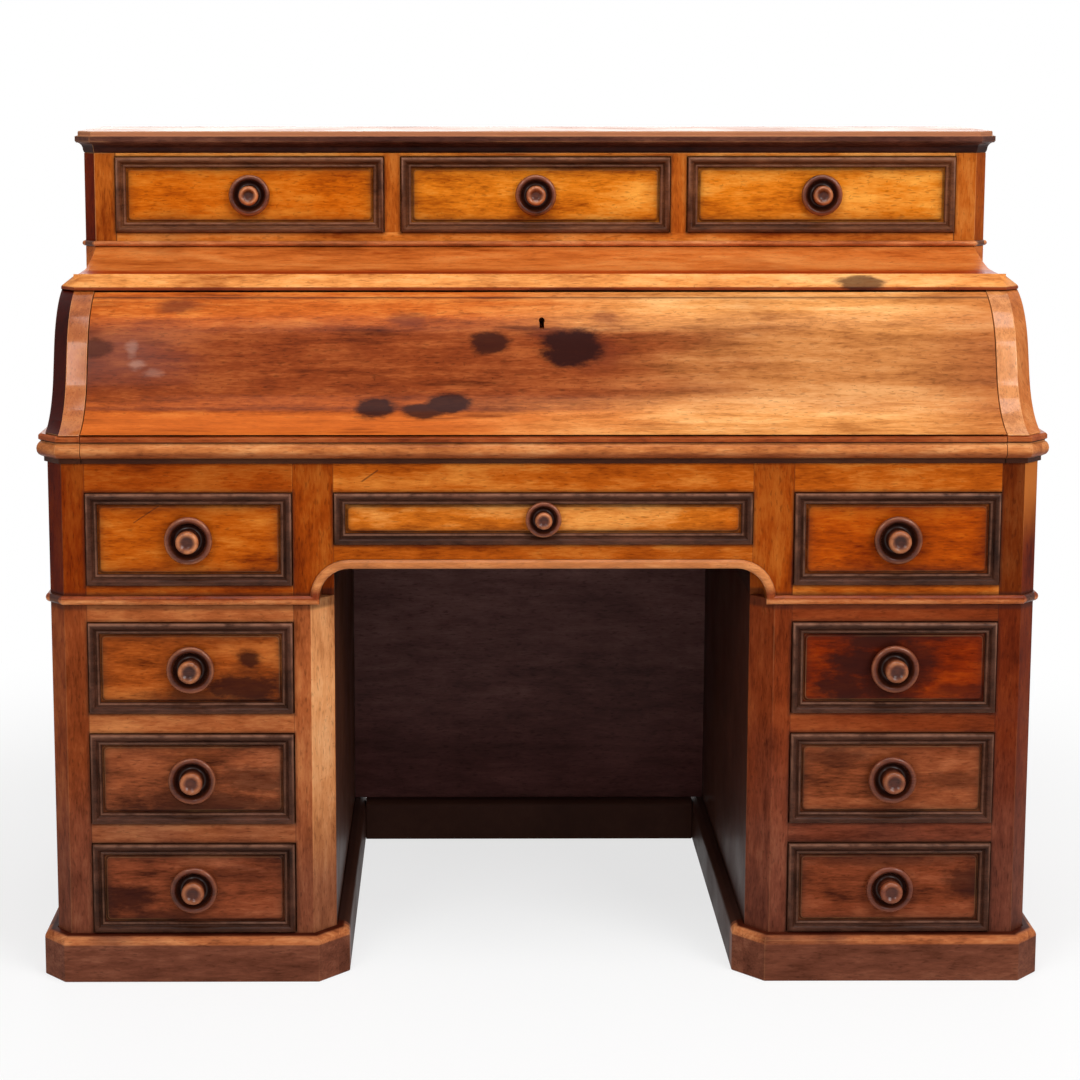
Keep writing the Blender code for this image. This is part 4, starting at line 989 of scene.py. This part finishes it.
# %% Where the pedestal drawers are stained
DRAWER_SPILLS = (
    (-0.428, 0.483, 0.021, 0.015, 0.95),
    (-0.428, 0.460, 0.034, 0.030, 0.60),
    (-0.436, 0.439, 0.080, 0.026, 0.95),
    (-0.500, 0.429, 0.080, 0.014, 0.70),
    (-0.420, 0.300, 0.080, 0.024, 0.70),
    (-0.500, 0.266, 0.140, 0.024, 0.80),
    (-0.400, 0.256, 0.036, 0.014, 0.75),
    (-0.612, 0.120, 0.046, 0.027, 0.90),
    (-0.430, 0.158, 0.055, 0.020, 0.50),
    (-0.560, 0.095, 0.060, 0.012, 0.60),
    (0.490, 0.508, 0.066, 0.020, 0.95),
    (0.462, 0.478, 0.060, 0.034, 0.97),
    (0.440, 0.442, 0.056, 0.030, 0.95),
    (0.496, 0.440, 0.060, 0.026, 0.90),
    (0.610, 0.436, 0.050, 0.012, 0.55),
    (0.540, 0.478, 0.046, 0.044, 0.80),
    (0.432, 0.335, 0.052, 0.016, 0.65),
    (0.600, 0.300, 0.050, 0.016, 0.50),
    (0.626, 0.146, 0.040, 0.030, 0.80),
    (0.500, 0.178, 0.120, 0.010, 0.50),
)
print(len(DRAWER_SPILLS), "spills on the pedestal drawers")

# %% [markdown]
# ## Drawer fronts
# A drawer has a polished front on a box of plain pale wood, with grain that runs level in front and back
# along the sides. The rows differ: golden in the gallery, orange in the frieze, and in the pedestals
# red-brown and browner with each row. Twelve finishes would be twelve times the work, so there is one
# for each kind of row, and the place says where its tints lie.

# %% Drawer fronts
FRONT_THICK = 0.0215
SIDE_COLUMN = (0.22, 0.30)
UPPER_ROW, MIDDLE_ROW, LOWER_ROW = (0.39, 0.43), (0.43, 0.33), (0.25, 0.19)
ROW_DRIFT = 0.12
DRAWER_SCRATCH = ((-0.591, 0.685), (-0.554, 0.710), 0.0012)
BOX_WOOD = tones((136, 96, 58), (160, 116, 72), (178, 136, 90))
BROWNER_WOOD = tones((72, 32, 17), (144, 75, 42), (184, 110, 70))
UPPER_RIGHT_TINT, LOWER_TINT = paint(221, 189, 143), paint(234, 224, 230)
BROWNER_RIGHT_TINT = paint(236, 228, 222)


def lower_rows(grain, colour, x, z):
    """The pedestals' own change of colour, from red-brown to a browner wood near the floor."""
    colour = colour.tint(UPPER_RIGHT_TINT, x.over(0) * z.fade(*UPPER_ROW))
    browner = grain.colour(BROWNER_WOOD).tint(BROWNER_RIGHT_TINT, x.over(0))
    colour = colour.blend(browner, (z + (grain.cloud - 0.5) * ROW_DRIFT).fade(*MIDDLE_ROW))
    return colour.tint(LOWER_TINT, z.fade(*LOWER_ROW))


def drawer_finish(name, wood, face, tints, row):
    """A polished front, with tints for the left column, the right one and both, on a plain box."""
    material, shader, place, (x, y, z) = new_finish(name)
    grain = Grain(place, inward=y.over(face + FRONT_THICK))
    left, right, outer = tints
    near, far = SIDE_COLUMN
    colour = grain.colour(wood).tint(left, x.fade(-near, -far)).tint(right, x.fade(near, far))
    colour = colour.tint(outer, abs(x).over(STILE_INNER))
    if row == "pedestal":
        colour = lower_rows(grain, colour, x, z)
        colour = colour.blend(SOOT, stain(place, x, z, DRAWER_SPILLS, ragged=1.8, soft=0.30) * 0.95)
    if row == "frieze":
        colour = colour.blend(GRIME_AND_SHADE, scratch(x, z, *DRAWER_SCRATCH) * 0.55)
    colour = aged(place, grain, colour, rubbed=0.55, dirt=0.35)
    front = y.under(face + FRONT_THICK)
    polish(shader, place, grain, grain.colour(BOX_WOOD).blend(colour, front))
    return material


CLEAR = paint(255, 255, 255)
gallery_front = drawer_finish(
    "gallery_drawer_mahogany",
    tones((140, 58, 2), (212, 120, 22), (236, 162, 66)),
    GALLERY_FACE,
    (paint(238, 212, 170), CLEAR, CLEAR),
    "gallery",
)
frieze_front = drawer_finish(
    "frieze_drawer_mahogany",
    tones((126, 50, 4), (198, 105, 24), (230, 154, 76)),
    CASE_FACE,
    (CLEAR, paint(244, 222, 170), paint(228, 202, 150)),
    "frieze",
)
pedestal_front = drawer_finish(
    "pedestal_drawer_mahogany",
    tones((86, 30, 4), (158, 74, 22), (200, 114, 50)),
    CASE_FACE,
    (CLEAR, paint(230, 188, 130), CLEAR),
    "pedestal",
)
for front in (gallery_front, frieze_front, pedestal_front):
    finished(front)

# %% [markdown]
# ## Frames and knobs
# The drawers' frames and knobs are stained nearly black. Along the ridges and round the knobs' rims the red
# wood shows again: partly rubbed by hands and cloths, and partly a painted highlight, strongest higher up,
# on frame ridges that face up and on the knobs at the left. The knobs' grooves carry dirt and painted shade.
# A pale line could be drawn along each ridge, but it would have to be fitted to twelve drawers. So the mesh
# carries a `ridge` number, and the finish mixes in the pale wood where that is high.

# %% Frames and knobs
FRAME_WIDTH = 0.016
FRAME_WOOD = tones((32, 15, 9), (58, 31, 20), (86, 50, 36))
GALLERY_FRAME_WOOD = tones((60, 30, 15), (102, 58, 33), (134, 84, 52))
KNOB_WOOD = tones((56, 21, 11), (98, 43, 25), (130, 66, 42))
FRAME_RUB_AND_HIGHLIGHT, KNOB_RUB_AND_HIGHLIGHT, KNOB_DIRT_AND_SHADE = paint(152, 106, 84), paint(206, 128, 78), paint(36, 14, 8)
FRAME_HIGHLIGHT_HEIGHTS, KNOB_HIGHLIGHT_HEIGHTS, KNOB_HIGHLIGHT_LEFT = (0.0, 0.7), (0.10, 0.66), (0.3, -0.3)


def frame_finish():
    material, shader, place, (_, _, z) = new_finish("frame_mahogany")
    grain = Grain(place)
    in_gallery = z.over(GALLERY_DRAWER_FOOT - FRAME_WIDTH)
    colour = grain.colour(FRAME_WOOD).blend(grain.colour(GALLERY_FRAME_WOOD), in_gallery * 0.6)
    # Painted highlight, with rubbing: the frames' ridges are paler, more so higher up.
    rub_and_highlight_share = z.fade(*FRAME_HIGHLIGHT_HEIGHTS) * 0.25 + 0.55
    rubbed = attribute(place, "ridge") * grain.rub.fade(0.20, 0.66) * rub_and_highlight_share
    polish(shader, place, grain, colour.blend(FRAME_RUB_AND_HIGHLIGHT, rubbed), gloss=0.26, coat=0.05, shine=0.06)
    return material


def knob_finish():
    material, shader, place, (x, _, z) = new_finish("knob_mahogany")
    grain = Grain(place)
    # Painted highlight, with rubbing: the knobs' rims and bosses are paler, more so higher up and at the
    # left.
    rub_and_highlight_share = z.fade(*KNOB_HIGHLIGHT_HEIGHTS) * 0.45 + x.fade(*KNOB_HIGHLIGHT_LEFT) * 0.25 + 0.16
    rubbed = (attribute(place, "ridge") ** 1.6) * grain.rub.fade(0.2, 0.65) * rub_and_highlight_share
    colour = grain.colour(KNOB_WOOD).blend(KNOB_RUB_AND_HIGHLIGHT, rubbed)
    # Dirt and painted shade in the knobs' groove and dimple.
    colour = colour.blend(KNOB_DIRT_AND_SHADE, attribute(place, "grime") * 0.95)
    polish(shader, place, grain, colour, gloss=0.20, coat=0.4, shine=0.06, bump=0.1)
    return material


frame_wood = finished(frame_finish())
knob_wood = finished(knob_finish())

# %% [markdown]
# ## Insides, leather and brass
# Behind the fall are plain pale fittings, and the slide carries a green writing leather with a gilt line
# pressed round its edge. The line could be a strip of its own, but on the real thing it is pressed in, so
# it is drawn at a set distance from the edge and also lowers the surface. The arms and the lock are
# brass, brown where it has tarnished.

# %% Insides, leather and brass
INSIDE_WOOD = tones((138, 92, 52), (168, 118, 70), (188, 140, 88))
LEATHER_LOW, LEATHER_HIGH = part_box("slide_leather")
TOOLED_IN, TOOLED_HALF = 0.022, 0.0022
CREASE_SCALE, LEATHER_RELIEF = 420.0, 0.0004
LEATHER_TONES = tones((24, 40, 28), (44, 66, 46), (92, 92, 62))
GILT, BRIGHT_BRASS, TARNISHED = paint(190, 150, 74), paint(196, 156, 82), paint(112, 82, 44)


def inside_finish():
    material, shader, place, _ = new_finish("inside_wood")
    grain = Grain(place)
    polish(shader, place, grain, aged(place, grain, grain.colour(INSIDE_WOOD), rubbed=0.4), gloss=0.42)
    return material


def leather_finish():
    """Green writing leather with a gilt line pressed round its edge."""
    material, shader, place, (x, y, _) = new_finish("writing_leather")
    cells = {"Vector": place, "Scale": CREASE_SCALE}
    crease = place.node("ShaderNodeTexVoronoi", {"feature": "DISTANCE_TO_EDGE"}, cells)
    rub = place.noise(9.0, 4, 0.6)
    edge = (LEATHER_HIGH.x - abs(x)).least(y - LEATHER_LOW.y).least(LEATHER_HIGH.y - y)
    line = abs(edge - TOOLED_IN).fade(TOOLED_HALF, TOOLED_HALF * 0.6)
    gilt = line * place.noise(70.0, 3, 0.7).fade(0.30, 0.52)
    dark, middle, light = LEATHER_TONES
    colour = rub.ramp((0.2, dark), (0.5, middle), (0.85, light)).blend(GILT, gilt * 0.9)
    height = crease.fade(0.0, 0.10) - line * 0.8
    creases = {"Strength": 0.5, "Distance": LEATHER_RELIEF, "Height": height}
    relief = place.node("ShaderNodeBump", None, creases)
    set_shader(shader, {"Base Color": colour, "Roughness": rub * 0.25 + 0.38, "Normal": relief}, {})
    return material


def brass_finish():
    material, shader, place, _ = new_finish("aged_brass")
    tarnish = place.noise(40.0, 4, 0.65).fade(0.35, 0.75)
    colour = tarnish.ramp((0.0, BRIGHT_BRASS), (1.0, TARNISHED))
    set_shader(shader, {"Base Color": colour, "Roughness": tarnish * 0.3 + 0.25}, {"Metallic": 1.0})
    return material


inside_wood = finished(inside_finish())
leather = finished(leather_finish())
brass = finished(brass_finish())

# %% [markdown]
# ## Soft edges
# A worn board has no sharp edge, and the thin light line that a rounded edge catches is what makes wood
# look solid. The solids arrive as loose triangles, so a copy is merged and its flat faces are joined
# again. Then each corner gets a small bevel, and the middle row of that bevel is marked as worn.

# %% Soften a solid
CORNER = math.radians(28)
FLAT = math.radians(1)
MERGE = 0.00001
EDGE_SEGMENTS = 2


def merged_copy(node):
    """A bmesh of a solid with its points merged and its flat faces joined."""
    bm = bmesh.new()
    bm.from_mesh(nodes[node].data)
    bmesh.ops.remove_doubles(bm, verts=bm.verts, dist=MERGE)
    bmesh.ops.dissolve_limit(bm, angle_limit=FLAT, verts=bm.verts, edges=bm.edges)
    return bm


def soften(bm, width):
    """Bevels every corner edge and marks the middle of each bevel as worn."""
    worn = bm.verts.layers.float.new("worn")
    corners = [edge for edge in bm.edges if edge.is_manifold and edge.calc_face_angle() > CORNER]
    made = bmesh.ops.bevel(
        bm,
        geom=corners,
        affect="EDGES",
        offset=width,
        offset_type="OFFSET",
        segments=EDGE_SEGMENTS,
        profile=0.5,
        clamp_overlap=True,
        material=-1,
    )
    rounded = set(made["faces"])
    for vert in made["verts"]:
        if vert.is_valid and all(face in rounded for face in vert.link_faces):
            vert[worn] = 1.0


print("corners over", round(math.degrees(CORNER)), "degrees get a bevel")

# %% [markdown]
# ## In a solid's place
# A softened copy has to take over from its solid: it rides on the same body, so that it moves with the
# joint, and the solid is hidden. Smooth shading alone would smear the light over the corners, so edges past
# an angle stay sharp and the normals lean towards the larger faces.

# %% Put a piece in a solid's place
BOARD_SMOOTH = 50


def finish_piece(bm, node, material, smooth=BOARD_SMOOTH):
    """Makes a bmesh a piece that rides on a solid's body, and hides the solid."""
    mesh = bpy.data.meshes.new(f"finished_{node}")
    bm.to_mesh(mesh)
    bm.free()
    mesh.shade_smooth()
    mesh.set_sharp_from_angle(angle=math.radians(smooth))
    piece = bpy.data.objects.new(mesh.name, mesh)
    mesh.materials.append(material)
    bpy.context.scene.collection.objects.link(piece)
    weighted = piece.modifiers.new("weighted_normals", "WEIGHTED_NORMAL")
    weighted.keep_sharp = True
    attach(piece, body_of[node])
    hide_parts(node)
    return piece


print("edges over", BOARD_SMOOTH, "degrees stay sharp on a board")

# %% [markdown]
# ## The boards
# Most of the bureau is boards and strips whose solids already have the right form, down to the ogee and
# the cants. Modelling them again would only risk a wrong size, so each is softened and given its finish.
# Plinths, ends and cases get the widest soft edges, and thin beads and mouldings the narrowest.

# %% Dress the boards
BOARDS = (
    (("left_plinth", "right_plinth", "kneehole_plinth"), plinth_wood, 0.0014),
    (("left_pedestal", "right_pedestal"), pedestal_wood, 0.0010),
    (("kneehole_back",), kneehole_wood, 0.0008),
    (("frieze_case",), frieze_wood, 0.0010),
    (("string_bead",), string_wood, 0.0004),
    (("gallery_bead",), gallery_bead_wood, 0.0004),
    (("desk_bed", "writing_slide"), bed_wood, 0.0005),
    (("left_ogee_end", "right_ogee_end"), end_wood, 0.0012),
    (("fall",), fall_wood, 0.0008),
    (("shelf",), shelf_wood, 0.0010),
    (("gallery_case",), gallery_wood, 0.0010),
    (("cornice_top",), cornice_wood, 0.0005),
    (("upper_back", "pigeonholes"), inside_wood, 0.0006),
    (("left_fall_arm", "right_fall_arm", "fall_lock"), brass, 0.0006),
)
for group, material, width in BOARDS:
    for node in group:
        board = merged_copy(node)
        soften(board, width)
        piece = finish_piece(board, node, material)
        print(node, len(piece.data.polygons), "faces")
nodes["slide_leather"].data.materials.clear()
nodes["slide_leather"].data.materials.append(leather)

# %% [markdown]
# ## Drawers
# Each front has a raised field with soft corners, and just inside the frame the wood is darker, with dust
# where a cloth never reached and painted shade. A painted border would not follow the corners. Loops drawn
# inside the field, each a smaller copy of its outline, carry that darkening from the edge to nothing.

# %% Drawer boxes
EDGE_SOFT = 0.0010
DIRT_AND_SHADE_LOOPS = ((0.002, 0.46), (0.008, 0.18), (0.020, 0.0))
LOOP_ROOM = 0.6
SLOPE_DIRT_AND_SHADE = 0.85


def drawer_box(node, material):
    """A drawer's box and front, with dust and painted shade round the raised field."""
    bm = merged_copy(node)
    grime = bm.verts.layers.float.new("grime")
    nearest = min(vert.co.y for vert in bm.verts)
    fronts = [face for face in bm.faces if face.calc_center_median().y < nearest + MERGE]
    field = max(fronts, key=lambda face: face.calc_area())
    middle = field.calc_center_bounds()
    half_x = max(vert.co.x for vert in field.verts) - middle.x
    half_z = max(vert.co.z for vert in field.verts) - middle.z
    # Dust and painted shade: the field's slopes and a border just inside the frame are marked darker.
    for vert in {vert for edge in field.edges for face in edge.link_faces for vert in face.verts}:
        vert[grime] = SLOPE_DIRT_AND_SHADE
    fit = min(LOOP_ROOM * half_z / DIRT_AND_SHADE_LOOPS[-1][0], 1)
    reached = 0.0
    for inward, share in DIRT_AND_SHADE_LOOPS:
        inward = inward * fit
        bmesh.ops.inset_individual(bm, faces=[field], thickness=0.0)
        bmesh.ops.scale(
            bm,
            vec=((half_x - inward) / (half_x - reached), 1, (half_z - inward) / (half_z - reached)),
            space=Matrix.Translation(-middle),
            verts=field.verts,
        )
        for vert in field.verts:
            vert[grime] = share
        reached = inward
    soften(bm, EDGE_SOFT)
    return finish_piece(bm, node, material)


print(len(DIRT_AND_SHADE_LOOPS), "loops of grime inside each field")

# %% [markdown]
# ## Moulded frames
# The frames are strips of moulding, mitred at the corners. A strip could be swept along the four sides,
# but insetting one rectangle step by step gives the same mitres with no joining. Each step goes a little
# inwards and up or down, so that the list of steps reads like the strip's section: its share of the
# width, its share of the height, and how much of a ridge it is.

# %% Frames round the drawers
FRAME_SECTION = (
    (0.00, 0.55, 0.3),
    (0.05, 0.76, 1.0),
    (0.14, 0.92, 0.7),
    (0.26, 1.00, 0.2),
    (0.38, 0.98, 0.1),
    (0.48, 0.88, 0.0),
    (0.56, 0.69, 0.0),
    (0.62, 0.49, 0.0),
    (0.68, 0.43, 0.0),
    (0.74, 0.51, 0.2),
    (0.82, 0.58, 0.8),
    (0.90, 0.55, 1.0),
    (0.97, 0.42, 0.4),
    (1.00, 0.30, 0.0),
    (1.00, 0.00, 0.0),
)
THIN = 0.00002
SHADED_RIDGE_SHARE, LIT_RIDGE_SLOPE = 0.3, 0.45
FRAME_SMOOTH = 32


def moulded_frame(node, material):
    """A mitred frame in a solid's box. Ridges that face up are marked for the most rubbing and painted
    highlight.
    """
    low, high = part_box(node)
    bm = bmesh.new()
    ridge = bm.verts.layers.float.new("ridge")
    bmesh.ops.create_grid(bm, x_segments=1, y_segments=1, size=0.5)
    turned = Matrix.Rotation(math.pi / 2, 4, "X")
    sized = Matrix.Diagonal((high.x - low.x, 1, high.z - low.z, 1))
    middle = Matrix.Translation(((low.x + high.x) / 2, high.y, (low.z + high.z) / 2))
    bmesh.ops.transform(bm, matrix=middle @ sized @ turned, verts=bm.verts)
    bm.normal_update()
    field = bm.faces[:][0]
    across, height = 0.0, 0.0
    for share_across, share_height, share_ridge in FRAME_SECTION:
        bmesh.ops.inset_region(
            bm,
            faces=[field],
            thickness=max((share_across - across) * FRAME_WIDTH, THIN),
            depth=(share_height - height) * (high.y - low.y),
            use_even_offset=True,
            use_boundary=True,
        )
        for vert in field.verts:
            vert[ridge] = share_ridge
        across, height = share_across, share_height
    bmesh.ops.delete(bm, geom=[field], context="FACES_ONLY")
    bmesh.ops.bridge_loops(bm, edges=[edge for edge in bm.edges if edge.is_boundary])
    bmesh.ops.recalc_face_normals(bm, faces=bm.faces)
    bm.normal_update()
    # Painted highlight: ridges that face up keep most of their pale share, as if lit from above.
    for vert in bm.verts:
        vert[ridge] *= SHADED_RIDGE_SHARE + (1 - SHADED_RIDGE_SHARE) * min(max(vert.normal.z, 0.0) / LIT_RIDGE_SLOPE, 1.0)
    return finish_piece(bm, node, material, FRAME_SMOOTH)


print("a frame's section has", len(FRAME_SECTION), "steps")

# %% [markdown]
# ## Turned knobs
# A turner cuts a knob from its section, and so does `spin`. The section runs from the back, out to the
# rim, down into the deep groove and up over the boss to its dimple. A few points set the shape, and a
# smooth curve through them keeps the rim and the boss round. Each point has its share of the radius and
# of the length, how much rubbing and painted highlight it has, and how much dirt and painted shade.

# %% A knob's section
KNOB_SECTION = (
    (0.00, 0.00, 0.0, 0.0),
    (0.72, 0.00, 0.0, 0.5),
    (0.76, 0.13, 0.1, 0.2),
    (0.96, 0.22, 0.2, 0.0),
    (1.00, 0.34, 0.1, 0.0),
    (0.95, 0.45, 0.6, 0.0),
    (0.84, 0.49, 0.1, 0.3),
    (0.75, 0.42, 0.2, 0.7),
    (0.66, 0.22, 0.0, 1.0),
    (0.54, 0.15, 0.0, 1.0),
    (0.45, 0.24, 0.0, 0.8),
    (0.42, 0.50, 0.3, 0.2),
    (0.48, 0.74, 0.4, 0.0),
    (0.46, 0.91, 0.8, 0.0),
    (0.37, 1.00, 1.0, 0.0),
    (0.28, 0.96, 0.6, 0.2),
    (0.18, 0.88, 0.1, 0.6),
    (0.00, 0.86, 0.2, 0.5),
)
CURVE_STEPS = 3


def smooth_line(points, steps):
    """Points along a smooth curve through the given ones."""
    line = []
    for i in range(len(points) - 1):
        before, start = points[max(i - 1, 0)], points[i]
        end, after = points[i + 1], points[min(i + 2, len(points) - 1)]
        for k in range(steps):
            t = k / steps
            line.append(
                tuple(
                    b + 0.5 * t * (c - a + t * (2 * a - 5 * b + 4 * c - d + t * (3 * (b - c) + d - a)))
                    for a, b, c, d in zip(before, start, end, after)
                )
            )
    return [*line, points[-1]]


print(len(smooth_line(KNOB_SECTION, CURVE_STEPS)), "points in a knob's section")

# %% [markdown]
# ## Spinning the knobs
# The section is drawn as a chain of points, spun round the knob's axis and merged where it closes. Its
# colours could be rings painted by radius, but the groove and the boss share some radii. So the points
# carry their rubbing and painted highlight, and their dirt and painted shade, and the spin copies that all
# the way round.

# %% Knobs
KNOB_STEPS = 40
KNOB_SMOOTH = 60


def turned_knob(node, material):
    """A knob spun in a solid's box, its rims marked for rubbing and painted highlight, its groove for dirt
    and painted shade.
    """
    low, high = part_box(node)
    radius, length = (high.x - low.x) / 2, high.y - low.y
    bm = bmesh.new()
    ridge, grime = bm.verts.layers.float.new("ridge"), bm.verts.layers.float.new("grime")
    section = []
    for out, along, share_ridge, share_grime in smooth_line(KNOB_SECTION, CURVE_STEPS):
        vert = bm.verts.new((max(out, 0.0) * radius, -max(along, 0.0) * length, 0))
        vert[ridge], vert[grime] = min(max(share_ridge, 0), 1), min(max(share_grime, 0), 1)
        section.append(vert)
    edges = [bm.edges.new(pair) for pair in zip(section, section[1:])]
    bmesh.ops.spin(
        bm,
        geom=section + edges,
        axis=(0, 1, 0),
        cent=(0, 0, 0),
        angle=math.tau,
        steps=KNOB_STEPS,
        use_merge=True,
    )
    bmesh.ops.remove_doubles(bm, verts=bm.verts, dist=MERGE)
    bmesh.ops.recalc_face_normals(bm, faces=bm.faces)
    seat = Vector(((low.x + high.x) / 2, high.y, (low.z + high.z) / 2))
    bmesh.ops.translate(bm, vec=seat, verts=bm.verts)
    return finish_piece(bm, node, material, KNOB_SMOOTH)


print("a knob turns in", KNOB_STEPS, "steps")

# %% [markdown]
# ## Dress the drawers
# The twelve drawers are alike but for their size and their row's wood. Copies of one drawer would have to
# be stretched, and a stretched moulding is wrong, so each drawer is made in its own solids' boxes.

# %% Dress the drawers
ROW_FRONTS = {"gallery": gallery_front, "frieze": frieze_front}
DRAWERS = sorted(node for node in nodes if node.endswith("_drawer"))
for node in DRAWERS:
    drawer_box(node, ROW_FRONTS.get(node.split("_")[0], pedestal_front))
    moulded_frame(f"{node}_moulding", frame_wood)
    turned_knob(f"{node}_knob", knob_wood)
print(len(DRAWERS), "drawers dressed")

# %% [markdown]
